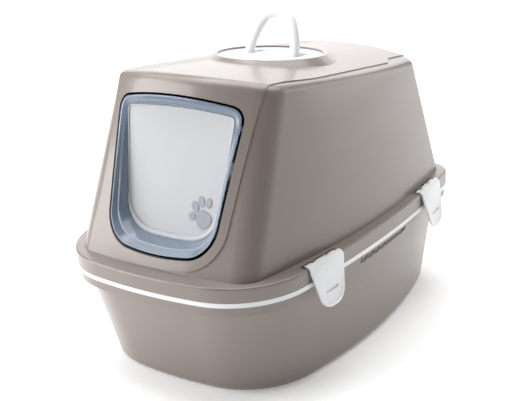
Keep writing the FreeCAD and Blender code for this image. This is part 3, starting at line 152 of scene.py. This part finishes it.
studio = {
    "white": (1, 1, 1, 1),
    "floor": (0.93, 0.93, 0.93, 1),
    "floorSize": 14,
    "floorRoughness": 0.9,
    "floorGlow": 0.25,
    "floorFade": (1.9, 4.0),  # metres from the part over which the floor brightens to the backdrop
    "backdrop": 1.0,  # what shows beyond the floor's edge
    "ambient": 0.045,
    "aim": (0, 0, 0.2),
    "lights": [
        # name, degrees round from the front to the right, degrees up, distance, size, power
        ("leftKey", -48, 16, 2.8, (2.2, 1.6), 60),
        ("leftHigh", -70, 55, 2.6, (2.2, 2.0), 34),
        ("top", 180, 78, 2.4, (2.6, 2.4), 70),
        ("rearLeft", -147, 20, 3.4, (4.2, 2.2), 54),
        ("rearRight", 148, 14, 2.8, (1.8, 1.6), 19),
    ],
}


def buildFloor():
    bpy.ops.object.select_all(action="DESELECT")
    bpy.ops.mesh.primitive_plane_add(size=studio["floorSize"], location=(0, 0, 0))
    floor = bpy.context.object
    floor.name = "studioFloor"
    material, tree, shader = newMaterial("paleFloor")
    shader.inputs["Base Color"].default_value = studio["floor"]
    shader.inputs["Roughness"].default_value = studio["floorRoughness"]
    shader.inputs["Emission Color"].default_value = studio["white"]
    place = tree.nodes.new("ShaderNodeTexCoord")
    away = tree.nodes.new("ShaderNodeVectorMath")
    away.operation = "LENGTH"
    tree.links.new(place.outputs["Object"], away.inputs[0])
    glow = addRange(tree, away.outputs["Value"], studio["floorGlow"], studio["backdrop"],
                    *studio["floorFade"])
    tree.links.new(glow, shader.inputs["Emission Strength"])
    floor.data.materials.append(material)


def buildWorld():
    world = bpy.data.worlds.new("studioWorld")
    world.use_nodes = True
    tree = world.node_tree
    ambient = tree.nodes["Background"]
    backdrop = tree.nodes.new("ShaderNodeBackground")
    for light, strength in ((ambient, studio["ambient"]), (backdrop, studio["backdrop"])):
        light.inputs["Color"].default_value = studio["white"]
        light.inputs["Strength"].default_value = strength
    path = tree.nodes.new("ShaderNodeLightPath")
    mix = tree.nodes.new("ShaderNodeMixShader")
    tree.links.new(path.outputs["Is Camera Ray"], mix.inputs[0])
    tree.links.new(ambient.outputs[0], mix.inputs[1])
    tree.links.new(backdrop.outputs[0], mix.inputs[2])
    tree.links.new(mix.outputs[0], tree.nodes["World Output"].inputs["Surface"])
    scene.world = world


def addLights():
    aim = Vector(studio["aim"])
    for name, turn, rise, distance, size, power in studio["lights"]:
        data = bpy.data.lights.new(name, "AREA")
        data.shape = "RECTANGLE"
        data.size, data.size_y = size
        data.energy = power
        light = addObject(name, data)
        place = aim + wayTo(turn, rise) * distance
        light.location = place
        light.rotation_euler = (aim - place).to_track_quat("-Z", "Y").to_euler()
        light.visible_camera = False


buildFloor()
buildWorld()
addLights()
print("studio built")

mouldedPlastic = {
    "mottle": 0.03,  # share by which the colour drifts over the wall
    "mottleScale": 5,
    "flowScale": (9, 9, 14),  # drift in gloss left as the plastic filled the mould
    "glossDrift": (0.94, 1.06),  # times the roughness
    "grain": (1400, 0.000012, 0.5),  # scale, depth, strength
    "wave": (22, 0.0001, 0.2),
    "coatRoughness": 0.12,
    "scatter": 0.003,
}


def mouldedFinish(name, colour, roughness, coat=0.0, subsurface=0.0):
    sizes = mouldedPlastic
    material, tree, shader = newMaterial(name)
    dark = [channel * (1 - sizes["mottle"]) for channel in colour]
    light = [min(1, channel * (1 + sizes["mottle"])) for channel in colour]
    drift = addNoise(tree, sizes["mottleScale"], detail=0)
    tree.links.new(addRamp(tree, drift, (dark, light)), shader.inputs["Base Color"])
    flow = addNoise(tree, 1, detail=1, stretch=sizes["flowScale"])
    gloss = addRange(tree, flow, *[roughness * share for share in sizes["glossDrift"]])
    tree.links.new(gloss, shader.inputs["Roughness"])
    scale, depth, strength = sizes["wave"]
    wave = addBump(tree, addNoise(tree, scale, detail=0), depth, strength)
    scale, depth, strength = sizes["grain"]
    grain = addBump(tree, addNoise(tree, scale, detail=2), depth, strength, wave)
    tree.links.new(grain, shader.inputs["Normal"])
    shader.inputs["Coat Weight"].default_value = coat
    shader.inputs["Coat Roughness"].default_value = sizes["coatRoughness"]
    shader.inputs["Subsurface Weight"].default_value = subsurface
    shader.inputs["Subsurface Scale"].default_value = sizes["scatter"]
    return material


clearPlastic = {
    "mottle": 0.05,
    "mottleScale": 14,
    "glossScale": 60,
    "glossDrift": (0.94, 1.065),
    "grain": (900, 0.00002, 0.3),
    "refraction": 1.49,
}


def clearFinish(name, colour, roughness, transmission, frost=0.0):
    sizes = clearPlastic
    material, tree, shader = newMaterial(name)
    drift = addNoise(tree, sizes["mottleScale"])
    dark = [channel * (1 - sizes["mottle"]) for channel in colour]
    tree.links.new(addRamp(tree, drift, (dark, colour)), shader.inputs["Base Color"])
    spread = addNoise(tree, sizes["glossScale"], detail=2)
    gloss = addRange(tree, spread, *[roughness * share for share in sizes["glossDrift"]])
    tree.links.new(gloss, shader.inputs["Roughness"])
    scale, depth, strength = sizes["grain"]
    grain = addBump(tree, addNoise(tree, scale, detail=2), depth, strength + frost)
    tree.links.new(grain, shader.inputs["Normal"])
    shader.inputs["Transmission Weight"].default_value = transmission
    shader.inputs["IOR"].default_value = sizes["refraction"]
    return material


carbonFelt = {
    "scale": 700,
    "detail": 8,
    "tangle": 0.7,
    "stretch": (1, 0.35, 1),
    "colours": ((0.006, 0.006, 0.007), (0.06, 0.06, 0.065)),
    "fibre": (0.0012, 0.8),  # depth, strength
    "roughness": 0.95,
}


def feltFinish():
    sizes = carbonFelt
    material, tree, shader = newMaterial("carbonFelt")
    fibre = addNoise(tree, sizes["scale"], sizes["detail"], sizes["tangle"], sizes["stretch"])
    tree.links.new(addRamp(tree, fibre, sizes["colours"]), shader.inputs["Base Color"])
    tree.links.new(addBump(tree, fibre, *sizes["fibre"]), shader.inputs["Normal"])
    shader.inputs["Roughness"].default_value = sizes["roughness"]
    return material


turnedSteel = {
    "scale": 500,
    "stretch": (1, 12, 1),
    "colours": ((0.42, 0.42, 0.43), (0.62, 0.62, 0.63)),
    "roughness": (0.22, 0.38),
    "marks": (0.00003, 0.3),  # depth, strength
}


def steelFinish():
    sizes = turnedSteel
    material, tree, shader = newMaterial("steelPin")
    turned = addNoise(tree, sizes["scale"], stretch=sizes["stretch"])
    tree.links.new(addRamp(tree, turned, sizes["colours"]), shader.inputs["Base Color"])
    tree.links.new(addRange(tree, turned, *sizes["roughness"]), shader.inputs["Roughness"])
    tree.links.new(addBump(tree, turned, *sizes["marks"]), shader.inputs["Normal"])
    shader.inputs["Metallic"].default_value = 1.0
    return material


finishes = {
    "taupe": mouldedFinish("taupePlastic", (0.246, 0.208, 0.186), 0.34, coat=0.35),
    "white": mouldedFinish("whitePlastic", (0.84, 0.85, 0.86), 0.38, subsurface=0.1),
    "flap_tint": clearFinish("tintedFlap", (0.39, 0.475, 0.59), 0.1, 0.55),
    "flap_window": clearFinish("frostedWindow", (0.58, 0.592, 0.62), 0.5, 0.12, frost=0.3),
    "paw_print": mouldedFinish("pawPrintInk", (0.31, 0.325, 0.372), 0.5),
    "carbon": feltFinish(),
    "steel": steelFinish(),
}
slotOf = {part["node"]: part["material_slot"] for part in frame["record"]["subparts"]}
for name, node in nodes.items():
    node.data.materials.clear()
    node.data.materials.append(finishes[slotOf[name]])
print("node finishes set")

# Modelling helpers. Faces, edges and points are picked by place or normal, then shaped by edit-mode operators.


def selectOnly(piece):
    bpy.ops.object.select_all(action="DESELECT")
    piece.select_set(True)
    bpy.context.view_layer.objects.active = piece


def openPiece(piece, kind="VERT", picked="DESELECT"):
    selectOnly(piece)
    bpy.ops.object.mode_set(mode="EDIT")
    bpy.ops.mesh.select_mode(type=kind)
    bpy.ops.mesh.select_all(action=picked)


def closePiece():
    bpy.ops.object.mode_set(mode="OBJECT")


def pick(piece, kind, test):
    bpy.ops.mesh.select_all(action="DESELECT")
    shape = bmesh.from_edit_mesh(piece.data)
    shape.normal_update()
    for part in [part for part in getattr(shape, kind) if test(part)]:
        part.select_set(True)
    if kind == "verts":
        shape.select_flush(True)
    bmesh.update_edit_mesh(piece.data)


def applyModifier(piece, kind, **settings):
    selectOnly(piece)
    modifier = piece.modifiers.new(kind.lower(), kind)
    for setting, value in settings.items():
        setattr(modifier, setting, value)
    bpy.ops.object.modifier_apply(modifier=modifier.name)


def combine(piece, other, operation):
    applyModifier(piece, "BOOLEAN", operation=operation, solver="EXACT", object=other)
    bpy.data.objects.remove(other)


def joinPieces(piece, others):
    selectOnly(piece)
    for other in others:
        other.select_set(True)
    bpy.ops.object.join()


def smooth(piece, angle=32):
    selectOnly(piece)
    bpy.ops.object.shade_smooth_by_angle(angle=math.radians(angle))


def dress(piece, slot, body, replaced=()):
    piece.data.materials.clear()
    piece.data.materials.append(finishes[slot])
    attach(piece, body)
    if replaced:
        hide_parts(*replaced)


def startBlock(name, low, high):
    bpy.ops.object.select_all(action="DESELECT")
    bpy.ops.mesh.primitive_cube_add(size=1)
    piece = bpy.context.object
    piece.name = name
    openPiece(piece, picked="SELECT")
    bpy.ops.transform.resize(value=[b - a for a, b in zip(low, high)])
    bpy.ops.transform.translate(value=[(a + b) / 2 for a, b in zip(low, high)])
    closePiece()
    return piece


rodSizes = {
    "sides": 28,
    "endRound": 0.15,  # share of the radius
}


def startRod(name, radius, start, end, across, up):
    # A rod along Y with rounded rims.
    bpy.ops.object.select_all(action="DESELECT")
    bpy.ops.mesh.primitive_cylinder_add(vertices=rodSizes["sides"], radius=radius, depth=end - start,
                                        rotation=(math.pi / 2, 0, 0),
                                        location=(across, (start + end) / 2, up))
    piece = bpy.context.object
    piece.name = name
    bpy.ops.object.transform_apply(location=True, rotation=True, scale=True)
    openPiece(piece, "EDGE")
    pick(piece, "edges", lambda edge: abs(edge.verts[0].co.y - edge.verts[1].co.y) < touching)
    bpy.ops.mesh.bevel(offset=radius * rodSizes["endRound"], segments=2, affect="EDGES")
    closePiece()
    return piece


clipSizes = {  # in the clip's own frame: X out from the rim, Y along it, Z up from the ground
    "half": 0.0375,
    "tipHalf": 0.0225,
    "top": 0.185,
    "taperFrom": 0.177,
    "tip": 0.1195,
    "face": 0.0032,
    "flare": 0.011,  # how far the tip stands further out than the top
    "plate": 0.0028,
    "bevel": 0.0042,
    "lip": 0.0045,
    "tipRound": 0.017,
    "tipSteps": 9,
    "edgeRound": 0.0009,
    "edgeAngle": 38,
    "slot": (0.0142, 0.0028, 0.1428, 0.0022),  # half length, half height, height above the ground, depth
    "dish": (0.0045, 0.0011, 0.153),  # border, depth at the tip, where it runs out
    "dishNarrowing": 0.8,  # share of the border taken off each side at the tip
    "cutterReach": 0.01,  # how far the cutters stand out in front
    "axisIn": 0.0095,
    "axisUp": 0.1802,
    "barrel": 0.0029,
    "spans": ((-0.0335, -0.0194), (-0.0136, 0.0136), (0.0194, 0.0335)),
    "web": (0.001, 0.0012, 0.0035, 0.0004),  # short of each end, under the axis, behind the face, into the plate
}


def clipPlate():
    sizes = clipSizes
    half, tip, top = sizes["half"], sizes["tip"], sizes["top"] - sizes["bevel"]
    bpy.ops.object.select_all(action="DESELECT")
    bpy.ops.mesh.primitive_plane_add(size=1, rotation=(0, math.pi / 2, 0))
    plate = bpy.context.object
    plate.name = "clipPlate"
    bpy.ops.object.transform_apply(location=True, rotation=True, scale=True)
    openPiece(plate, picked="SELECT")
    if plate.data.polygons[0].normal.x < 0:
        bpy.ops.mesh.flip_normals()
    bpy.ops.transform.resize(value=(1, half * 2, top - tip))
    bpy.ops.transform.translate(value=(sizes["face"], 0, (tip + top) / 2))
    pick(plate, "verts", lambda point: point.co.z > top - touching)
    for step in ((-sizes["bevel"], 0, sizes["bevel"]), (-sizes["lip"], 0, 0)):
        bpy.ops.mesh.extrude_region_move(TRANSFORM_OT_translate={"value": step})
    bpy.ops.mesh.select_all(action="SELECT")
    bpy.ops.mesh.bisect(plane_co=(0, 0, sizes["taperFrom"]), plane_no=upward)
    pick(plate, "verts", lambda point: point.co.z < tip + touching)
    bpy.ops.transform.resize(value=(1, sizes["tipHalf"] / half, 1))
    bpy.ops.transform.translate(value=(sizes["flare"], 0, 0))
    pick(plate, "verts", lambda point: abs(point.co.z - sizes["taperFrom"]) < touching)
    bpy.ops.transform.translate(value=(clipFront(sizes["taperFrom"]) - sizes["face"], 0, 0))
    pick(plate, "verts", lambda point: point.co.z < tip + touching)
    bpy.ops.mesh.bevel(offset=sizes["tipRound"], segments=sizes["tipSteps"], affect="VERTICES")
    closePiece()
    applyModifier(plate, "SOLIDIFY", thickness=sizes["plate"], offset=-1, use_even_offset=True)
    return plate


def clipFront(height):
    sizes = clipSizes
    top = sizes["top"] - sizes["bevel"]
    return sizes["face"] + sizes["flare"] * (top - height) / (top - sizes["tip"])


def clipSlot():
    halfLength, halfHeight, height, depth = clipSizes["slot"]
    front = clipFront(height)
    cutter = startBlock("slotCutter", (front - depth, -halfLength, height - halfHeight),
                        (front + clipSizes["cutterReach"], halfLength, height + halfHeight))
    openPiece(cutter, "EDGE")
    pick(cutter, "edges", lambda edge: abs(edge.verts[0].co.x - edge.verts[1].co.x) > depth / 2)
    bpy.ops.mesh.bevel(offset=halfHeight * 0.98, segments=6, affect="EDGES")
    closePiece()
    return cutter


def clipDish():
    sizes = clipSizes
    border, depth, end = sizes["dish"]
    low = sizes["tip"] + border
    widen = (sizes["half"] - sizes["tipHalf"]) / (sizes["taperFrom"] - sizes["tip"])
    lowHalf = sizes["tipHalf"] - border * sizes["dishNarrowing"]
    front, reach = clipFront(low), sizes["cutterReach"]
    cutter = startBlock("dishCutter", (front - depth, -lowHalf, low), (front + reach, lowHalf, end))
    openPiece(cutter)
    pick(cutter, "verts", lambda point: point.co.z > end - touching)
    bpy.ops.transform.resize(value=(1, (lowHalf + widen * (end - low)) / lowHalf, 1))
    pick(cutter, "verts", lambda point: point.co.z > end - touching and point.co.x < front)
    bpy.ops.transform.translate(value=(clipFront(end) - front + depth, 0, 0))
    bpy.ops.mesh.select_mode(type="EDGE")
    pick(cutter, "edges", lambda edge: abs(edge.verts[0].co.x - edge.verts[1].co.x) > reach / 2
         and edge.verts[0].co.z < low + touching)
    bpy.ops.mesh.bevel(offset=sizes["tipRound"] - border, segments=sizes["tipSteps"], affect="EDGES")
    closePiece()
    return cutter


def buildClip():
    sizes = clipSizes
    clip = clipPlate()
    combine(clip, clipDish(), "DIFFERENCE")
    combine(clip, clipSlot(), "DIFFERENCE")
    applyModifier(clip, "BEVEL", width=sizes["edgeRound"], segments=3, limit_method="ANGLE",
                  angle_limit=math.radians(sizes["edgeAngle"]))
    short, under, behind, into = sizes["web"]
    for start, end in sizes["spans"]:
        barrel = startRod("clipBarrel", sizes["barrel"], start, end, -sizes["axisIn"], sizes["axisUp"])
        web = startBlock("clipWeb", (-sizes["axisIn"], start + short, sizes["axisUp"] - under),
                         (-behind, end - short, sizes["top"] - sizes["plate"] + into))
        combine(barrel, web, "UNION")
        combine(clip, barrel, "UNION")
    smooth(clip)
    return clip


def buildClips():
    pattern = buildClip()
    for joint in frame["joints"]:
        name = joint["child"]
        if not name.startswith("clip_"):
            continue
        x, y = joint["pos_m"][:2]
        out = Vector(joint["axis"]).cross(upward)
        if out.x * x < 0:
            out = -out
        clip = addObject(name + "Moulded", pattern.data.copy())
        turn = Matrix((out, upward.cross(out), upward)).transposed()
        place = Vector((x, y, 0)) + out * clipSizes["axisIn"]
        clip.data.transform(Matrix.Translation(place) @ turn.to_4x4())
        dress(clip, "white", name, (name,))
    bpy.data.objects.remove(pattern)


buildClips()
print("clips moulded")

flapSizes = {
    "facing": (0, -0.906, 0.42),  # way that the front of the flap looks
    "facingLeast": 0.93,  # cosine within which a face still counts as front
    "paneFacing": (0, -0.97, 0.25),
    "paneFacingLeast": 0.99,
    "merge": 0.00002,
    "steps": 288,  # points round each ring of the moulding
    "gapTrim": 0.997,
    "gapLift": 0.0006,  # the dark gap to the doorway is wider under the flap than over it
    "lip": 0.3,  # share of the node's rim that stays as the lip in front of the sloped walls
    "ledgeAt": 0.3,  # share of the way from the lip back to the pane
    "ledgeIn": 0.003,
    "ledgeLean": (1, 0.25, 0.97),
    "wall": 0.0017,
    "edgeRound": 0.0005,
    "edgeAngle": 35,
    "knuckle": (0.0046, 0.0953, 0.1033),  # radius, inner and outer end
    "bead": 0.0011,
    "beadSides": 4,
    "beadProud": 0.6,  # share of the bead's radius by which it stands in front of the pane
    "beadFoot": 4.2,  # times as thick along the bottom, where the pane is held
    "beadRise": 3.2,  # the thickening runs out over the pane's height divided by this
}


def frontOutlines(node, facing, least):
    # The open edges of the faces that look the given way, each as a row of points, longest first.
    copy = addObject("outline", nodes[node].data.copy())
    openPiece(copy, picked="SELECT")
    bpy.ops.mesh.remove_doubles(threshold=flapSizes["merge"])
    bpy.ops.mesh.select_mode(type="FACE")
    facing = Vector(facing).normalized()
    pick(copy, "faces", lambda face: face.normal.dot(facing) < least)
    bpy.ops.mesh.delete(type="FACE")
    edges = bmesh.from_edit_mesh(copy.data).edges
    free = dict.fromkeys(edge for edge in edges if edge.is_boundary)
    loops = []
    while free:
        edge = next(iter(free))
        del free[edge]
        point, points = edge.verts[1], [edge.verts[0].co.copy()]
        while point is not None:
            points.append(point.co.copy())
            edge = next((other for other in point.link_edges if other in free), None)
            free.pop(edge, None)
            point = edge.other_vert(point) if edge else None
        loops.append(points)
    closePiece()
    bpy.data.objects.remove(copy)
    return sorted(loops, key=lambda points: -sum((b - a).length for a, b in zip(points, points[1:])))


def ringOf(points, steps):
    # The outline as evenly turned points round its middle, seen from the front.
    middle = [(min(point[i] for point in points) + max(point[i] for point in points)) / 2
              for i in (0, 2)]
    turned = sorted((math.atan2(point.z - middle[1], point.x - middle[0]), point[:])
                    for point in points)
    turned = [(turned[-1][0] - math.tau, turned[-1][1]), *turned,
              (turned[0][0] + math.tau, turned[0][1])]
    ring, at = [], 0
    for step in range(steps):
        angle = -math.pi + math.tau * (step + 0.5) / steps
        while turned[at + 1][0] < angle:
            at += 1
        (before, start), (after, end) = turned[at], turned[at + 1]
        share = (angle - before) / max(after - before, 1e-9)
        ring.append(Vector(start).lerp(Vector(end), share))
    return ring


def skinRings(name, rings):
    steps = len(rings[0])
    faces = [(a * steps + i, a * steps + (i + 1) % steps,
              (a + 1) * steps + (i + 1) % steps, (a + 1) * steps + i)
             for a in range(len(rings) - 1) for i in range(steps)]
    mesh = bpy.data.meshes.new(name)
    mesh.from_pydata([point[:] for ring in rings for point in ring], [], faces)
    return addObject(name, mesh)


def middleOf(points):
    return sum(points, Vector()) / len(points)


def flapRings():
    # From the rim inwards: rim, lip, ledge, shelf and pane.
    sizes = flapSizes
    rims = frontOutlines("flap_frame", sizes["facing"], sizes["facingLeast"])[:2]
    outer, inner = [ringOf(points, sizes["steps"]) for points in rims]
    panes = frontOutlines("flap_window", sizes["paneFacing"], sizes["paneFacingLeast"])
    pane = ringOf(panes[0], sizes["steps"])
    centre, middle = middleOf(outer), middleOf(pane)
    lift = upward * sizes["gapLift"]
    outer = [centre + (point - centre) * sizes["gapTrim"] + lift for point in outer]
    lip = [a.lerp(b, sizes["lip"]) for a, b in zip(outer, inner)]
    ledge = [a.lerp(b, sizes["ledgeAt"]) for a, b in zip(lip, pane)]
    shelf = []
    for point in ledge:
        inward = (middle - point) * Vector(sizes["ledgeLean"])
        shelf.append(point + inward.normalized() * sizes["ledgeIn"])
    return [outer, lip, ledge, shelf, pane]


def buildFlapShell(rings):
    sizes = flapSizes
    shell = skinRings("flapShell", rings)
    openPiece(shell, "FACE", "SELECT")
    bpy.ops.mesh.normals_make_consistent(inside=False)
    closePiece()
    if shell.data.polygons[0].normal.dot(Vector(sizes["facing"])) < 0:
        shell.data.flip_normals()
    applyModifier(shell, "SOLIDIFY", thickness=sizes["wall"], offset=-1)
    applyModifier(shell, "BEVEL", width=sizes["edgeRound"], segments=2, limit_method="ANGLE",
                  angle_limit=math.radians(sizes["edgeAngle"]))
    axis = next(joint["pos_m"] for joint in frame["joints"] if joint["name"] == "flap_swing")
    for side in (1, -1):
        knuckle = startRod("flapKnuckle", *sizes["knuckle"], 0, 0)
        turn = Matrix.Rotation(-side * math.pi / 2, 4, "Z")
        knuckle.data.transform(Matrix.Translation((0, axis[1], axis[2])) @ turn)
        joinPieces(shell, [knuckle])
    smooth(shell, 30)
    dress(shell, "flap_tint", "flap", ("flap_frame",))


def buildPaneBead(pane):
    # The moulded edge that holds the pane, fuller along the foot.
    sizes = flapSizes
    line = bpy.data.curves.new("paneBead", "CURVE")
    line.dimensions = "3D"
    line.bevel_depth = sizes["bead"]
    line.bevel_resolution = sizes["beadSides"]
    spline = line.splines.new("POLY")
    spline.points.add(len(pane) - 1)
    spline.use_cyclic_u = True
    low, high = min(point.z for point in pane), max(point.z for point in pane)
    for knot, point in zip(spline.points, pane):
        foot = max(0, 1 - (point.z - low) / (high - low) * sizes["beadRise"])
        knot.co = (point.x, point.y - sizes["bead"] * sizes["beadProud"], point.z, 1)
        knot.radius = 1 + (sizes["beadFoot"] - 1) * foot
    curve = addObject("paneBeadLine", line)
    bead = addObject("paneBead", bpy.data.meshes.new_from_object(curve))
    bpy.data.objects.remove(curve)
    smooth(bead, 60)
    dress(bead, "flap_window", "flap")


flapLevels = flapRings()
buildFlapShell(flapLevels)
buildPaneBead(flapLevels[-1])
print("flap moulded")

pawSizes = {
    "spot": (0.0527, 0.2442),  # across the part, above the ground
    "pad": (0.0127, 0.06, -0.3),  # radius, share by which the three lobes stand out, turn
    "toes": ((-0.0192, 0.0022, 0.0054, 0.0058, 0.2),  # across and up from the pad, half sizes, turn
             (-0.0152, 0.0162, 0.0055, 0.0076, 0.45),
             (-0.0052, 0.024, 0.0052, 0.0077, 0.2),
             (0.0072, 0.0238, 0.0048, 0.0072, -0.15)),
    "steps": 64,
    "thick": 0.0004,
}


def pawSpot(across, up, wide, high, turn, lobes=0.0):
    bpy.ops.object.select_all(action="DESELECT")
    bpy.ops.mesh.primitive_circle_add(vertices=pawSizes["steps"], radius=1, fill_type="NGON")
    spot = bpy.context.object
    for point in spot.data.vertices:
        point.co *= 1 + lobes * math.sin(3 * math.atan2(point.co.y, point.co.x))
    openPiece(spot, picked="SELECT")
    bpy.ops.transform.resize(value=(wide, high, 1), center_override=(0, 0, 0))
    closePiece()
    spot.data.transform(Matrix.Translation((across, up, 0)) @ Matrix.Rotation(turn, 4, "Z"))
    return spot


def buildPaw():
    sizes = pawSizes
    radius, lobes, turn = sizes["pad"]
    paw = pawSpot(0, 0, radius, radius, turn, lobes)
    joinPieces(paw, [pawSpot(*toe) for toe in sizes["toes"]])
    paw.name = "pawPrint"
    facing = Vector(flapSizes["paneFacing"]).normalized()
    right = Vector((1, 0, 0))
    across, height = sizes["spot"]
    low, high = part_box("paw_inlay")
    lean = (height - low[2]) / (high[2] - low[2])
    front = low[1] + (high[1] - low[1]) * lean - sizes["thick"]
    turned = Matrix((right, facing.cross(right), facing)).transposed().to_4x4()
    paw.data.transform(Matrix.Translation((across, front, height)) @ turned)
    applyModifier(paw, "SOLIDIFY", thickness=sizes["thick"], offset=0)
    smooth(paw)
    dress(paw, "paw_print", "flap", ("paw_inlay",))


buildPaw()
print("paw print laid in")

ribSizes = {  # the finger grip moulded under both side rims of the tray
    "first": -0.029,  # along the side
    "step": 0.0061,
    "count": 24,
    "thick": 0.0021,
    "top": 0.1452,
    "drop": 0.0125,
    "proud": 0.0026,
    "sunk": 0.0012,
    "taper": 0.5,  # share of its depth that a rib loses towards its foot
    "slant": 0.22,  # how far a rib's foot trails behind its head, as a share of its height
    "edgeRound": 0.3,  # share of the thickness
    "outside": 0.3,  # metres from the middle, clear of the tray
}


def buildRib(side, along):
    sizes = ribSizes
    thick, drop, top = sizes["thick"], sizes["drop"], sizes["top"]
    inward = Vector((-side, 0, 0))
    foot, head = [side * nodes["tray"].ray_cast(Vector((side * sizes["outside"], along, z)), inward)[1].x
                  for z in (top - drop, top)]
    rib = startBlock("gripRib", (0, -thick / 2, 0), (1, thick / 2, 1))
    for point in rib.data.vertices:
        low = 1 - point.co.z
        depth = sizes["proud"] if point.co.x > 0.5 else -sizes["sunk"]
        wall = foot * low + head * (1 - low)
        point.co.x = side * (wall + depth * (1 - sizes["taper"] * low))
        point.co.y += along - low * drop * sizes["slant"]
        point.co.z = top - low * drop
    if side < 0:
        rib.data.flip_normals()
    applyModifier(rib, "BEVEL", width=thick * sizes["edgeRound"], segments=2)
    return rib


def buildRibs(side, name):
    ribs = [buildRib(side, ribSizes["first"] + ribSizes["step"] * number)
            for number in range(ribSizes["count"])]
    joinPieces(ribs[0], ribs[1:])
    ribs[0].name = name
    smooth(ribs[0])
    dress(ribs[0], "taupe", "tray")


buildRibs(1, "gripRibsRight")
buildRibs(-1, "gripRibsLeft")
print("grip ribs moulded")

pinSizes = {
    "radius": 0.0021,
    "span": (-0.1915, -0.1845),  # front and rear end
    "across": 0.1062,
}


def buildPinHead(side, name):
    # The white end of one of the flap's hinge pins, which shows in the gap at the doorway.
    low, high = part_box("flap_pin_right")
    head = startRod(name, pinSizes["radius"], *pinSizes["span"], side * pinSizes["across"],
                    (low[2] + high[2]) / 2)
    smooth(head)
    dress(head, "white", "hood")


buildPinHead(1, "flapPinHeadRight")
buildPinHead(-1, "flapPinHeadLeft")
print("pin heads set")
